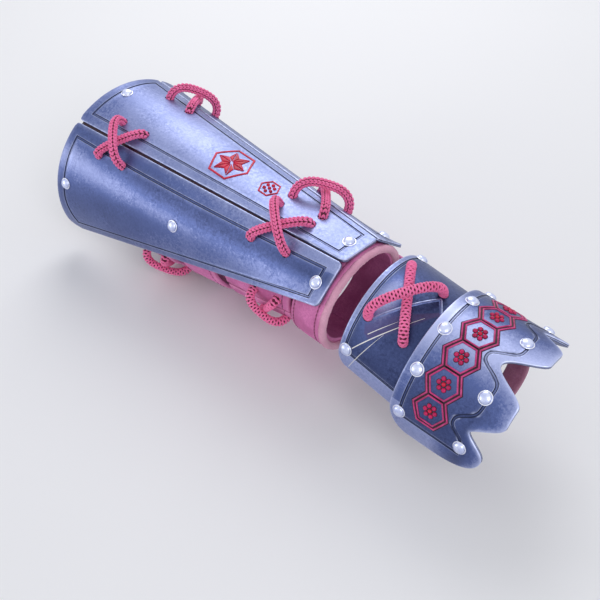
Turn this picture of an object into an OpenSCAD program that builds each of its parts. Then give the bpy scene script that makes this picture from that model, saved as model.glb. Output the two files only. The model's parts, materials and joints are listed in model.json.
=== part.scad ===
// Armoured gauntlet: three laced forearm plates over leather bands, and a two-lame hand guard.
// Axes: X runs along the forearm towards the hand, Z up through the centre plate, +Y is the far side.
// The origin is the centre of the wrist cuff's bore. Distances called "from the elbow" start at the
// elbow edge of the plates.

/* [Forearm plates] */
// Length of the plates from the elbow edge to the wrist edge
guard_len = 220; // [200:1:240]
// Distance of the plates' wrist edge ahead of the bore's centre
wrist_edge_x = 13.1; // [12:0.1:15]
// Thickness of the forearm plates
plate_t = 2; // [1.6:0.1:2.2]
// Radius of the plates' outside at the elbow edge
elbow_r = 59.5; // [58:0.5:64]
// Drop of the elbow arc's centre below the bore's axis
elbow_drop = 16; // [15:0.5:17]
// Half angle that the centre plate spans at the elbow
centre_half_angle = 33.5; // [30:0.5:36]
// Angle from the top at which a side plate ends at the elbow
side_end_angle = 117; // [105:1:120]
// Half width of the centre plate at the wrist
wrist_top_half = 13.6; // [12:0.1:15]
// Height of the centre plate's outside at the wrist
wrist_top_z = 35.3; // [35.3:0.1:36.5]
// Sideways reach of a side plate's lower corner at the wrist
wrist_low_half = 34.8; // [34.6:0.1:36]
// Height of a side plate's lower corner at the wrist
wrist_low_z = 17; // [16.6:0.1:18]
// Open seam between two plates
seam_gap = 1.9; // [1.8:0.1:2.4]
// Radius of the plates' small corners
corner_r = 3; // [2:0.5:4]
// Radius of a side plate's lower corner at the elbow
low_corner_r = 13; // [8:1:16]
// Inset of the end rivets from the plates' edges
rivet_inset = 9; // [8:0.5:12]
// Distance from the elbow to a side plate's middle rivet
mid_rivet_d = 105; // [95:1:115]

/* [Leather] */
// Thickness of the leather bands
band_t = 2.4; // [1.8:0.1:2.6]
// Thickness of the linings
lining_t = 1.6; // [1.4:0.1:1.6]
// Clearance between the lining and the leather sleeve line at the elbow band's rear edge
sleeve_gap_rear = 0.39; // [0.39:0.05:1.2]
// Clearance between the lining and the leather sleeve line at the fore band's front edge
sleeve_gap_front = 0.32; // [0.32:0.05:0.9]
// Drop of the sleeve line's centre at the elbow band's rear edge
sleeve_drop_rear = 8.8; // [8.8:0.1:10]
// Drop of the sleeve line's centre at the fore band's front edge
sleeve_drop_front = 0.3; // [0.3:0.1:1]
// Distance from the elbow to the elbow band's rear edge
elbow_band_d = 62; // [60:1:64]
// Width of the elbow band
elbow_band_w = 26; // [24:1:32]
// Distance from the elbow to the middle band's rear edge
middle_band_d = 104; // [100:1:108]
// Width of the middle band
middle_band_w = 29; // [24:1:32]
// Distance from the elbow to the fore band's rear edge
fore_band_d = 143.5; // [141:0.5:145]
// Width of the fore band along the sleeve line, before its front edge is cut parallel to the cuff
fore_band_w = 46.5; // [44:0.5:48]
// Gap between the fore band and the cuff
fore_band_gap = 3.5; // [2.5:0.5:5]
// Width of the slit at which a band closes
slit_w = 3; // [2:0.5:4]
// Angle from the top at which the elbow band closes, on the near side
elbow_slit_angle = 135; // [132:1:140]
// Angle from the top at which the fore band closes, on the near side
fore_slit_angle = 108; // [106:1:114]

/* [Wrist cuff] */
// Radius of the cuff's bore
bore_r = 28; // [26:0.5:29]
// Outer radius of the padded cuff
cuff_r = 34.2; // [33.6:0.1:34.2]
// Drop of the cuff's outside below the bore's axis
cuff_drop = 1; // [1:0.1:1.6]
// Length of the cuff along its bore's axis
bore_len = 23; // [21:0.5:24]
// Tilt of the cuff's two ends, following the bent wrist downwards
cuff_pitch = 6; // [3:0.5:7]
// Turn of the cuff's two ends towards the far side
cuff_yaw = 4; // [2:0.5:5]
// Radius of the rolled leather round the cuff's front rim
piping_r = 2.3; // [1.8:0.1:2.4]

/* [Rivets] */
// Radius of a domed rivet head
rivet_r = 3.8; // [3:0.1:4.2]
// Height of a domed rivet head
rivet_h = 2.3; // [1.6:0.1:2.6]
// Radius of a rivet's shank
shank_r = 1.6; // [1.2:0.1:1.8]
// Radius of the burr washer under a rivet's tail
burr_r = 3.4; // [3:0.1:3.8]
// Thickness of a burr washer
burr_t = 0.7; // [0.5:0.1:0.9]

/* [Laces] */
// Diameter of the knitted lace cord
cord_d = 5.6; // [4.8:0.1:5.8]
// Heights of the elbow laces' lower and upper legs above the line between their holes
elbow_lace_rise = [5.4, 11.3];
// Heights of the wrist laces' lower and upper legs
wrist_lace_rise = [6.6, 12.6];
// Heights of the hand lace's lower and upper legs
hand_lace_rise = [7.8, 13.8];
// Heights of the band laces' lower and upper legs
band_lace_rise = [4.6, 8.7];
// Share of its thickness that a band lace keeps where its legs cross
band_lace_flat = 0.7; // [0.65:0.05:0.8]
// Radius of the stop knot below a lace hole
knot_r = 4; // [3.8:0.1:4.2]
// Distances from the elbow to the rear and front holes of the elbow X laces
elbow_lace_d = [31, 52];
// Distances from the elbow to the rear and front holes of the wrist X laces
wrist_lace_d = [161, 186];

/* [Hand guard pose] */
// Place of the hand guard's own origin in front of the bore's centre
hand_x = 52.1; // [51:0.1:55]
// Drop of the hand guard's own origin below the bore's axis
hand_drop = 10; // [9:0.5:11]
// Turn of the hand guard towards the far side
hand_yaw = 6; // [5:0.5:7]
// Nose-down tilt of the hand guard
hand_pitch = 6; // [5:0.5:7]
// Roll of the hand guard towards the near side
hand_roll = 16.5; // [15:0.5:18]

/* [Wrist plate] */
// Outer radius of the wrist plate at its rear edge
wrist_plate_r_rear = 38.7; // [38.4:0.1:39]
// Outer radius of the wrist plate under the knuckle plate
wrist_plate_r_front = 39.4; // [39.2:0.1:39.5]
// Thickness of the wrist plate
wrist_plate_t = 1.8; // [1.5:0.1:1.9]
// Distance of the wrist plate's rear edge behind the hand origin
wrist_plate_rear = 24.5; // [24:0.5:25]
// Distance of the wrist plate's front edge ahead of the hand origin
wrist_plate_front = 28; // [27:0.5:29]
// Angle from the top that each side of the wrist plate reaches
wrist_plate_angle = 78; // [76:1:79]
// Sideways shift of the wrist plate's rear edge towards the far side
wrist_plate_shift_y = 3.6; // [3:0.1:4]
// Lift of the wrist plate's rear edge
wrist_plate_shift_z = 1.9; // [1:0.1:2.4]

/* [Knuckle plate] */
// Outer radius of the knuckle plate
knuckle_r = 44; // [43.8:0.1:44.4]
// Thickness of the knuckle plate
knuckle_t = 2; // [1.7:0.1:2.1]
// Distance of the knuckle plate's rear edge ahead of the hand origin
knuckle_rear = 16; // [15:0.5:17]
// Distance of the lobes' tips ahead of the hand origin
lobe_x = 75.3; // [73:0.1:77]
// Depth of the middle notch in the wavy front edge
notch_depth = 19.2; // [15:0.1:21]
// Depth of the two outer notches
outer_notch_depth = 15; // [11:0.5:16]
// Angle from the top of the two outer notches
notch_angle = 49.4; // [48:0.1:51]
// Angle from the top that each side of the knuckle plate reaches
knuckle_angle = 89; // [86:1:90]
// Angles from the top of the rear rivets; the last one is the pivot
rear_rivet_angle = [0, 32.5, 67.5];
// Distance of the rear rivets ahead of the hand origin
rear_rivet_x = 22.5; // [22:0.1:23]
// Distance of the front rivets ahead of the hand origin
front_rivet_x = 59; // [58:0.1:60]
// Angles from the top of the front rivets
front_rivet_angle = [24, 64];
// Distance of the row of hexagons ahead of the hand origin
kikko_x = 38; // [37.5:0.1:39]
// Angle between two neighbouring hexagons
kikko_step_angle = 20.9; // [20:0.1:21.2]
// Width of the raised line that two neighbouring hexagons share
kikko_line = 2.8; // [2:0.1:3]
// Height of the enamel above a plate
enamel_h = 0.4; // [0.3:0.05:0.6]
// Radius of one dot of a flower
dot_r = 1.2; // [1:0.05:1.3]

/* [Link and loop] */
// Width of the leather link strap
link_w = 13; // [11:0.5:14]
// Thickness of the leather link strap
link_t = 2; // [1.6:0.1:2.2]
// Distance of the link strap's pivot rivet ahead of the bore's centre
link_pivot_x = 2.1; // [1:0.1:3]
// Distance of the link strap's hand rivet behind the hand origin
link_hand_back = 12; // [11:0.5:13]
// Half width of the finger loop
loop_half = 12.6; // [12:0.1:12.7]
// Depth of the finger loop below the knuckle plate's top
loop_depth = 27; // [24:0.5:29]
// Width of the finger loop's leather
loop_w = 11; // [9:0.5:12]

/* [Emblem] */
// Distance from the elbow to the enamel star's centre
star_d = 114; // [110:1:118]
// Radius of the enamel star
star_r = 14.5; // [12:0.5:15.5]
// Distance from the elbow to the small enamel hexagon's centre
badge_d = 147; // [144:1:150]
// Radius of the small enamel hexagon
badge_r = 7; // [5:0.2:7.4]

/* [Hidden] */
$fn = 48;

NEAR = -1;
CENTRE = 0;
FAR = 1;

// Clearances
seat_gap = 0.2;      // between pieces that lie on each other
burr_gap = 0.3;      // between a burr and what it holds, for the curve of the sheet
hole_gap = 0.15;     // round a shank in its hole
cord_gap = 0.25;     // round a cord in its hole
pocket_gap = 0.5;    // round a burr in its pocket
sliver = 0.02;       // between a rivet head and its plate
head_gap = 0.16;     // between a rivet head and a plate that bends under it
reach = 20;          // length of cutting tools, past every wall

// Derived sizes
elbow_x = wrist_edge_x - guard_len;
// The slanted ends turn about a line below the bore's axis, so this keeps the bore's middle at the origin
cuff_mid_x = -cuff_drop * tan(cuff_pitch);
cuff_rear_x = cuff_mid_x - bore_len / 2;
cuff_front_x = cuff_mid_x + bore_len / 2;
sleeve_rear_d = elbow_band_d;
sleeve_front_d = fore_band_d + fore_band_w;
piping_ring_r = cuff_r - piping_r;
lining_front_d = sleeve_front_d + 2.5;
piping_mid = 0.8;
cuff_pocket = 2;
cord_r = cord_d / 2;
lace_hole_r = cord_r + cord_gap;
window_r = knot_r + 1.2;
lining_offset = plate_t + seat_gap;
lining_grip = lining_offset + lining_t;
function plate_top(d) = lerp(elbow_r - elbow_drop, wrist_top_z, d / guard_len);
sleeve_r_rear = plate_top(sleeve_rear_d) - lining_grip - sleeve_gap_rear + sleeve_drop_rear;
sleeve_r_front = plate_top(sleeve_front_d) - lining_grip - sleeve_gap_front + sleeve_drop_front;
knot_h = 2.4;
washer_gap = 0.8;
window_depth = lining_grip + knot_h + 1;
lining_half = 0.82;
lace_centre_elbow = 0.6;
lace_side_elbow = 0.17;
lace_centre_wrist = 0.27;
lace_side_wrist = 0.28;
cord_sides = 8;
arch_steps = 12;
arch_square = 0.78;
slit_past = 5;
lace_hole_angle = 16;
band_hole_inset = 4.5;
fore_hole_insets = [25, 4];
tail_t = 0.5;
tail_lip = 0.6;
centre_rivet_back = 2;
side_rivet_ahead = 1;
star_line = 1.3;
badge_line = 1;
leaf_share = 0.75;
leaf_spread = 0.28;
leaf_root = 0.9;
leaf_vein = 0.5;
badge_ring_share = 0.45;
badge_dot_share = 0.8;
kikko_depth = 3 * enamel_h + dot_r;
ear_front_x = -3;
ear_blend_angle = 12;
lining_side_inset = 4;
lining_rear_inset = 2;
plate_rows = 8;
plate_cols = 16;
wrist_cols = 28;
knuckle_rows = 5;
knuckle_cols = 76;
notch_half_angles = [19.5, 16];
notch_powers = [2, 1.4];
outer_lobe_drop = 3.8;
front_corner_angle = 64;
front_corner_len = 28;
rear_corner_angle = 62;
rear_corner_len = 15;
wrist_corner_angle = 13;
wrist_corner_len = 7;
wrist_rivet_x = 4.8 - wrist_plate_rear;
wrist_rivet_angle = 60;
hand_lace_rear_x = -16.2;
hand_lace_front_x = 7.4;
hand_lace_near_angles = [-25.5, -25];
hand_lace_far_angles = [32.5, 28];
lining_front_x = 13;
link_y = cuff_r + 0.25;
ear_angle = 112;
link_hand_angle = 92;
link_rows = 20;
link_cols = 6;
link_corner = 4;
link_flat_past = 2.2;
link_turn_len = 11;
link_bend = [cuff_front_x + link_flat_past, cuff_front_x + link_flat_past + link_turn_len];
loop_x = front_rivet_x;

// General helpers
function lerp(a, b, u) = a + (b - a) * u;
function unit(v) = v / norm(v);
function arc_len(radius, degrees) = radius * degrees * PI / 180;
function eased(k) = (1 - cos(180 * k)) / 2;
function corner_inset(a, r) = a >= r ? 0 : r - sqrt(max(0, r * r - (r - a) * (r - a)));
function oval_inset(a, half) = a <= 0 ? 0 : 1 - sqrt(max(0, 1 - pow(min(a / half, 1), 2)));
function along(d) = elbow_x + d;

// Faces of a closed sheet whose upper and lower grids have the same rows and columns
function sheet_faces(rows, cols) =
    let (n = rows * cols)
    [
        for (i = [0 : rows - 2]) for (j = [0 : cols - 2])
            let (a = i * cols + j, b = a + 1, c = a + cols, d = c + 1)
            each [[a, b, d], [a, d, c], [a + n, d + n, b + n], [a + n, c + n, d + n]],
        for (j = [0 : cols - 2])
            let (a = j, b = j + 1, e = (rows - 1) * cols + j, f = e + 1)
            each [[b, a, a + n], [b, a + n, b + n], [e, f, f + n], [e, f + n, e + n]],
        for (i = [0 : rows - 2])
            let (a = i * cols, c = a + cols, e = a + cols - 1, g = e + cols)
            each [[a, c, c + n], [a, c + n, a + n], [g, e, e + n], [g, e + n, g + n]]
    ];
function flipped(faces) = [for (f = faces) [f[0], f[2], f[1]]];

module sheet_solid(upper, lower, flip = false) {
    faces = sheet_faces(len(upper), len(upper[0]));
    polyhedron(points = [for (row = concat(upper, lower)) each row], faces = flip ? flipped(faces) : faces);
}

// Turns the Z axis onto a direction and moves it to a point
module on_point(place) {
    n = place[1];
    translate(place[0]) rotate([0, acos(n[2]), atan2(n[1], n[0])]) children();
}

// Forearm plates: a ruled surface from an arc at the elbow to flat facets at the wrist
function plate_point(side, u, s) =
    let (
        t = side == CENTRE ? centre_half_angle * s : lerp(centre_half_angle, side_end_angle, s),
        elbow = [elbow_r * sin(t), elbow_r * cos(t) - elbow_drop],
        wrist = side == CENTRE
            ? [wrist_top_half * s, wrist_top_z]
            : [lerp(wrist_top_half, wrist_low_half, s), lerp(wrist_top_z, wrist_low_z, s)],
        p = lerp(elbow, wrist, u)
    )
    [lerp(elbow_x, wrist_edge_x, u), (side == NEAR ? -1 : 1) * p[0], p[1]];
function plate_normal(side, u, s) =
    let (
        e = 0.001,
        du = plate_point(side, u + e, s) - plate_point(side, u - e, s),
        ds = plate_point(side, u, s + e) - plate_point(side, u, s - e)
    )
    unit((side == NEAR ? -1 : 1) * cross(du, ds));
function plate_place(side, d, s) =
    [plate_point(side, d / guard_len, s), plate_normal(side, d / guard_len, s)];
function plate_width(side, u) = side == CENTRE
    ? 2 * lerp(arc_len(elbow_r, centre_half_angle), wrist_top_half, u)
    : lerp(arc_len(elbow_r, side_end_angle - centre_half_angle),
           norm([wrist_low_half - wrist_top_half, wrist_low_z - wrist_top_z]), u);
function seam_share(side, u) = seam_gap / 2 / plate_width(side, u);
function plate_s(side, u, k) = side == CENTRE
    ? lerp(-1, 1, lerp(seam_share(side, u), 1 - seam_share(side, u), k))
    : lerp(seam_share(side, u), 1, k);

// One point of a plate at a depth below its outside, with the corners rounded
function plate_cell(side, i, j, depth) =
    let (
        k = eased(j / plate_cols),
        from_seam = k * plate_width(side, 0),
        from_low = (1 - k) * plate_width(side, 0),
        low_r = side == CENTRE ? corner_r : low_corner_r,
        at_elbow = corner_inset(from_seam, corner_r) + corner_inset(from_low, low_r),
        at_wrist = corner_inset(k * plate_width(side, 1), corner_r)
            + corner_inset((1 - k) * plate_width(side, 1), corner_r),
        u = lerp(at_elbow, guard_len - at_wrist, i / plate_rows) / guard_len,
        s = plate_s(side, u, k)
    )
    plate_point(side, u, s) - depth * plate_normal(side, u, s);
function plate_grid(side, depth) =
    [for (i = [0 : plate_rows]) [for (j = [0 : plate_cols]) plate_cell(side, i, j, depth)]];

module plate_sheet(side, upper_depth, lower_depth) {
    sheet_solid(plate_grid(side, upper_depth), plate_grid(side, lower_depth), side == NEAR);
}

// A lining grid keeps to a share of the plate's width and stops short of its ends
function lining_cell(i, j, depth) =
    let (
        u = lerp(0.02, lining_front_d / guard_len, i / plate_rows),
        s = lerp(-lining_half, lining_half, j / plate_rows)
    )
    plate_point(CENTRE, u, s) - depth * plate_normal(CENTRE, u, s);
function lining_grid(depth) =
    [for (i = [0 : plate_rows]) [for (j = [0 : plate_rows]) lining_cell(i, j, depth)]];

// Rivets, burrs and holes
centre_rivets = [
    plate_place(CENTRE, rivet_inset + centre_rivet_back, 0),
    plate_place(CENTRE, guard_len - rivet_inset, 0)
];
function side_rivets(side) = [
    plate_place(side, rivet_inset, 0.5),
    plate_place(side, mid_rivet_d, 0.52),
    plate_place(side, guard_len - rivet_inset + side_rivet_ahead, 0.56)
];

module dome_head() {
    ball_r = (rivet_r * rivet_r + rivet_h * rivet_h) / (2 * rivet_h);
    intersection() {
        translate([0, 0, rivet_h - ball_r]) sphere(r = ball_r, $fn = 64);
        cylinder(r = rivet_r + 1, h = rivet_h + 1);
    }
}

// Head on the outside, shank through the grip and a peened tail below the burr
module rivet(grip, seat = sliver) {
    tail = grip + burr_t + 2 * burr_gap;
    translate([0, 0, seat]) dome_head();
    translate([0, 0, -tail - 0.1]) cylinder(r = shank_r, h = tail + 0.1 + seat + sliver);
    translate([0, 0, -tail - tail_t]) cylinder(r = shank_r + tail_lip, h = tail_t);
}

module burr(grip) {
    translate([0, 0, -grip - burr_t - burr_gap])
        difference() {
            cylinder(r = burr_r, h = burr_t);
            translate([0, 0, -1]) cylinder(r = shank_r + hole_gap, h = burr_t + 2);
        }
}

module drilled(places, r) {
    for (place = places) on_point(place) translate([0, 0, -reach / 2]) cylinder(r = r, h = reach);
}

// A blind pocket sunk from a plate's outside to a depth
module sunk(places, r, depth) {
    for (place = places) on_point(place) translate([0, 0, -depth]) cylinder(r = r, h = depth + reach);
}

// Laces
function powered(c) = sign(c) * pow(abs(c), arch_square);
function lace_path(a, b, grip_a, grip_b, rise) =
    let (up = unit(a[1] + b[1]), run = b[0] - a[0])
    [
        for (h = [knot_h + 0.2, knot_h - 0.4, 0.5, 0.2]) a[0] - a[1] * (grip_a + h),
        for (k = [0 : arch_steps])
            let (t = 180 * k / arch_steps)
            a[0] + run * (1 - powered(cos(t))) / 2 + up * rise * powered(sin(t)),
        for (h = [0.2, 0.5, knot_h - 0.4, knot_h + 0.2]) b[0] - b[1] * (grip_b + h)
    ];
knot_radii = [knot_r - 0.7, knot_r, knot_r, cord_r];
lace_radii = [
    each knot_radii,
    for (k = [0 : arch_steps]) cord_r,
    for (k = [0 : 3]) knot_radii[3 - k]
];
function lace_flats(flat) = [
    for (k = [0 : 3]) 1,
    for (k = [0 : arch_steps]) lerp(1, flat, pow(sin(180 * k / arch_steps), 4)),
    for (k = [0 : 3]) 1
];

// A tube along a path, with its own radius and its own flattening at each point
module cord_tube(path, radii, flats, across) {
    last = len(path) - 1;
    n = cord_sides;
    rings = [
        for (i = [0 : last])
            let (
                fwd = unit(path[min(i + 1, last)] - path[max(i - 1, 0)]),
                u = unit(cross(across, fwd)) * flats[i],
                v = unit(cross(fwd, u))
            )
            for (k = [0 : n - 1]) path[i] + radii[i] * (cos(360 * k / n) * u + sin(360 * k / n) * v)
    ];
    faces = [
        for (i = [0 : last - 1]) for (k = [0 : n - 1])
            let (a = i * n + k, b = i * n + (k + 1) % n, c = a + n, d = b + n)
            each [[a, c, d], [a, d, b]],
        for (k = [1 : n - 2]) each [[0, k, k + 1], [last * n, last * n + k + 1, last * n + k]]
    ];
    polyhedron(points = rings, faces = faces);
}

module lace_leg(a, b, grip_a, grip_b, rise, flat) {
    across = unit(cross(b[0] - a[0], a[1] + b[1]));
    cord_tube(lace_path(a, b, grip_a, grip_b, rise), lace_radii, lace_flats(flat), across);
}

// Two legs of an X: a1 and a2 on one edge, b1 and b2 on the other; a1 to b2 passes over
module x_lace(holes, grip_a, grip_b, rises, flat = 1) {
    lace_leg(holes[0], holes[3], grip_a, grip_b, rises[1], flat);
    lace_leg(holes[1], holes[2], grip_a, grip_b, rises[0], flat);
}

function seam_holes(side, ds, s_centre, s_side) = [
    plate_place(CENTRE, ds[0], side * s_centre),
    plate_place(CENTRE, ds[1], side * s_centre),
    plate_place(side, ds[0], s_side),
    plate_place(side, ds[1], s_side)
];
function elbow_holes(side) = seam_holes(side, elbow_lace_d, lace_centre_elbow, lace_side_elbow);
function wrist_holes(side) = seam_holes(side, wrist_lace_d, lace_centre_wrist, lace_side_wrist);

module seam_lace(holes, rises) {
    color("palevioletred") x_lace(holes, lining_grip, plate_t, rises);
}

// Room in the leather below for the knots of the wrist laces
module knot_windows() {
    for (side = [NEAR, FAR]) sunk(wrist_holes(side), window_r, window_depth);
}

// Leather sleeve line: a leaning cone that the bands are cut from
sleeve_slope = (sleeve_drop_rear - sleeve_drop_front) / (sleeve_front_d - sleeve_rear_d);
sleeve_lean = atan(sleeve_slope);
function sleeve_share(d) = (d - sleeve_rear_d) / (sleeve_front_d - sleeve_rear_d);
function sleeve_r(d) = lerp(sleeve_r_rear, sleeve_r_front, sleeve_share(d));
function sleeve_z(d) = -lerp(sleeve_drop_rear, sleeve_drop_front, sleeve_share(d));
function sleeve_place(d, angle) =
    let (out = [-sin(sleeve_lean) * cos(angle), -sin(angle), cos(sleeve_lean) * cos(angle)])
    [[along(d), 0, sleeve_z(d)] + sleeve_r(d) * out, out];

module on_sleeve(d) {
    translate([along(d), 0, sleeve_z(d)]) rotate([0, 90 - sleeve_lean, 0]) children();
}

module sleeve_band(d, w) {
    length = w / cos(sleeve_lean);
    on_sleeve(d)
        difference() {
            cylinder(r1 = sleeve_r(d), r2 = sleeve_r(d + w), h = length, $fn = 96);
            translate([0, 0, -0.01])
                cylinder(r1 = sleeve_r(d) - band_t, r2 = sleeve_r(d + w) - band_t, h = length + 0.02, $fn = 96);
        }
}

module band_slit(d, w, angle) {
    on_sleeve(d) rotate([0, 0, 180 - angle])
        translate([-sleeve_r(d) - slit_past, -slit_w / 2, -slit_past])
            cube([reach + slit_past, slit_w, w + reach]);
}

function band_holes(d1, d2, angle) =
    [for (dir = [-1, 1]) for (d = [d1, d2]) sleeve_place(d, angle + dir * lace_hole_angle)];
elbow_band_holes = band_holes(
    elbow_band_d + band_hole_inset, elbow_band_d + elbow_band_w - band_hole_inset, elbow_slit_angle
);
fore_band_holes = band_holes(
    fore_band_d + fore_hole_insets[0], fore_band_d + fore_band_w - fore_hole_insets[1], fore_slit_angle
);

module laced_band(d, w, angle, holes) {
    difference() {
        sleeve_band(d, w);
        band_slit(d, w, angle);
        drilled(holes, lace_hole_r);
    }
}

module band_lace(holes) {
    color("palevioletred") x_lace(holes, band_t, band_t, band_lace_rise, band_lace_flat);
}

// The cuff's two ends lean with the bent wrist
module cuff_frame(x) {
    translate([x, 0, -cuff_drop]) rotate([0, 0, cuff_yaw]) rotate([0, cuff_pitch, 0]) children();
}

module ahead_of_plane(x) {
    cuff_frame(x) translate([0, -3 * reach, -3 * reach]) cube(6 * reach);
}

module behind_plane(x) {
    cuff_frame(x) translate([-6 * reach, -3 * reach, -3 * reach]) cube(6 * reach);
}

// Hand guard frame: its own X runs towards the knuckles
module hand_frame() {
    translate([hand_x, 0, -hand_drop]) rotate([0, 0, hand_yaw]) rotate([0, hand_pitch, 0])
        rotate([hand_roll, 0, 0]) children();
}

function turn_x(v, a) = [v[0], v[1] * cos(a) - v[2] * sin(a), v[1] * sin(a) + v[2] * cos(a)];
function turn_y(v, a) = [v[0] * cos(a) + v[2] * sin(a), v[1], v[2] * cos(a) - v[0] * sin(a)];
function turn_z(v, a) = [v[0] * cos(a) - v[1] * sin(a), v[0] * sin(a) + v[1] * cos(a), v[2]];
function hand_world(v) = [hand_x, 0, -hand_drop] + turn_z(turn_y(turn_x(v, hand_roll), hand_pitch), hand_yaw);

// Wrist plate: a slightly conical arch, its rear edge shifted towards the far side
function wrist_plate_share(x) = (rear_rivet_x - x) / (rear_rivet_x + wrist_plate_rear);
function wrist_plate_point(x, t, depth) =
    let (
        share = wrist_plate_share(x),
        r = lerp(wrist_plate_r_front, wrist_plate_r_rear, share) - depth
    )
    [x, r * sin(t) + wrist_plate_shift_y * share, r * cos(t) + wrist_plate_shift_z * share];
function wrist_plate_normal(x, t) =
    let (e = 0.01)
    unit(cross(
        wrist_plate_point(x, t + e, 0) - wrist_plate_point(x, t - e, 0),
        wrist_plate_point(x + e, t, 0) - wrist_plate_point(x - e, t, 0)
    ));
function wrist_plate_place(x, t) = [wrist_plate_point(x, t, 0), -wrist_plate_normal(x, t)];
function wrist_plate_cell(i, j, depth) =
    let (
        t = lerp(-wrist_plate_angle, wrist_plate_angle, j / wrist_cols),
        past = abs(t) - wrist_plate_angle + wrist_corner_angle,
        inset = wrist_corner_len * oval_inset(past, wrist_corner_angle),
        x = lerp(inset - wrist_plate_rear, wrist_plate_front - inset, i / 4)
    )
    wrist_plate_point(x, t, depth);
function wrist_plate_grid(depth) =
    [for (i = [0 : 4]) [for (j = [0 : wrist_cols]) wrist_plate_cell(i, j, depth)]];
wrist_rivets = [
    wrist_plate_place(wrist_rivet_x, -wrist_rivet_angle),
    wrist_plate_place(wrist_rivet_x, wrist_rivet_angle)
];
hand_lace_holes = [
    wrist_plate_place(hand_lace_rear_x, hand_lace_near_angles[0]),
    wrist_plate_place(hand_lace_front_x, hand_lace_near_angles[1]),
    wrist_plate_place(hand_lace_rear_x, hand_lace_far_angles[0]),
    wrist_plate_place(hand_lace_front_x, hand_lace_far_angles[1])
];
hand_grip = wrist_plate_t + seat_gap + lining_t;

// Knuckle plate: a round arch with a wavy front edge
// Share of a notch's depth at an angle from the top: which is 0 for the middle notch and 1 for the outer ones
function notch_share(t, which) =
    let (from = min(1, abs(abs(t) - [0, notch_angle][which]) / notch_half_angles[which]))
    1 - pow(sin(90 * from), notch_powers[which]);
function knuckle_front_x(t) =
    let (
        outer = min(1, max(0, (abs(t) - notch_angle) / (front_corner_angle - notch_angle))),
        lobe = lobe_x - outer_lobe_drop * outer,
        past = abs(t) - front_corner_angle,
        corner = front_corner_len * oval_inset(past, knuckle_angle - front_corner_angle)
    )
    lobe - notch_depth * notch_share(t, 0) - outer_notch_depth * notch_share(t, 1) - corner;
function knuckle_rear_x(t) =
    knuckle_rear + rear_corner_len * oval_inset(abs(t) - rear_corner_angle, knuckle_angle - rear_corner_angle);
function knuckle_point(x, t, depth) = [x, (knuckle_r - depth) * sin(t), (knuckle_r - depth) * cos(t)];
function knuckle_place(x, t) = [knuckle_point(x, t, 0), [0, sin(t), cos(t)]];
function knuckle_cell(i, j, depth) =
    let (t = lerp(-knuckle_angle, knuckle_angle, j / knuckle_cols))
    knuckle_point(lerp(knuckle_rear_x(t), knuckle_front_x(t), i / knuckle_rows), t, depth);
function knuckle_grid(depth) =
    [for (i = [0 : knuckle_rows]) [for (j = [0 : knuckle_cols]) knuckle_cell(i, j, depth)]];
pivots = [for (dir = [-1, 1]) knuckle_place(rear_rivet_x, dir * rear_rivet_angle[2])];
rear_rivets = [for (k = [-1, 0, 1]) knuckle_place(rear_rivet_x, k * rear_rivet_angle[1])];
loop_rivets = [for (dir = [-1, 1]) knuckle_place(front_rivet_x, dir * front_rivet_angle[0])];
low_rivets = [for (dir = [-1, 1]) knuckle_place(front_rivet_x, dir * front_rivet_angle[1])];
pivot_grip = knuckle_r - wrist_plate_r_front + wrist_plate_t + 0.5;
loop_grip = knuckle_t + seat_gap + lining_t;
kikko_angles = [for (k = [-5 : 2 : 5]) k * kikko_step_angle / 2];
kikko_half_width = arc_len(knuckle_r, kikko_step_angle) / 2;
petal_ring_r = 2.4 * dot_r;

// Forearm body
module centre_plate() {
    color("slateblue") difference() {
        plate_sheet(CENTRE, 0, plate_t);
        drilled(centre_rivets, shank_r + hole_gap);
        for (side = [NEAR, FAR]) {
            drilled([for (k = [0, 1]) elbow_holes(side)[k]], lace_hole_r);
            drilled([for (k = [0, 1]) wrist_holes(side)[k]], lace_hole_r);
        }
    }
}

module centre_lining() {
    color("palevioletred") difference() {
        sheet_solid(lining_grid(lining_offset), lining_grid(lining_grip));
        drilled([centre_rivets[0]], shank_r + hole_gap);
        for (side = [NEAR, FAR]) {
            drilled([for (k = [0, 1]) elbow_holes(side)[k]], lace_hole_r);
            drilled([for (k = [0, 1]) wrist_holes(side)[k]], lace_hole_r);
        }
    }
}

cuff_rivet_grip = centre_rivets[1][0][2] - bore_r - cuff_pocket;
module centre_plate_rivets() {
    color("lavender") {
        on_point(centre_rivets[0]) rivet(lining_grip);
        on_point(centre_rivets[1]) rivet(cuff_rivet_grip);
    }
}

module centre_plate_burrs() {
    color("silver") {
        on_point(centre_rivets[0]) burr(lining_grip);
        on_point(centre_rivets[1]) burr(cuff_rivet_grip);
    }
}

// A thin layer of enamel that follows the centre plate, cut to an outline given flat around its centre
module enamel_on_centre(d) {
    place = plate_place(CENTRE, d, 0);
    color("crimson") intersection() {
        plate_sheet(CENTRE, -enamel_h, -sliver);
        on_point(place) translate([0, 0, -reach / 2]) linear_extrude(height = reach) children();
    }
}

// Six-pointed hemp leaf star inside a hexagon line
module centre_star() {
    leaf_r = star_r * leaf_share;
    enamel_on_centre(star_d) {
        difference() {
            circle(r = star_r, $fn = 6);
            circle(r = star_r - star_line, $fn = 6);
        }
        for (a = [0 : 60 : 300])
            rotate([0, 0, a]) {
                for (dir = [-1, 1])
                    scale([1, dir]) polygon([
                        [leaf_root, leaf_vein / 2], [leaf_r / 2, leaf_r * leaf_spread], [leaf_r, leaf_vein / 2]
                    ]);
            }
    }
}

module centre_badge() {
    enamel_on_centre(badge_d) {
        difference() {
            circle(r = badge_r, $fn = 6);
            circle(r = badge_r - badge_line, $fn = 6);
        }
        circle(r = dot_r);
        for (a = [30 : 60 : 330])
            rotate([0, 0, a]) translate([badge_r * badge_ring_share, 0]) circle(r = dot_r * badge_dot_share);
    }
}

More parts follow.
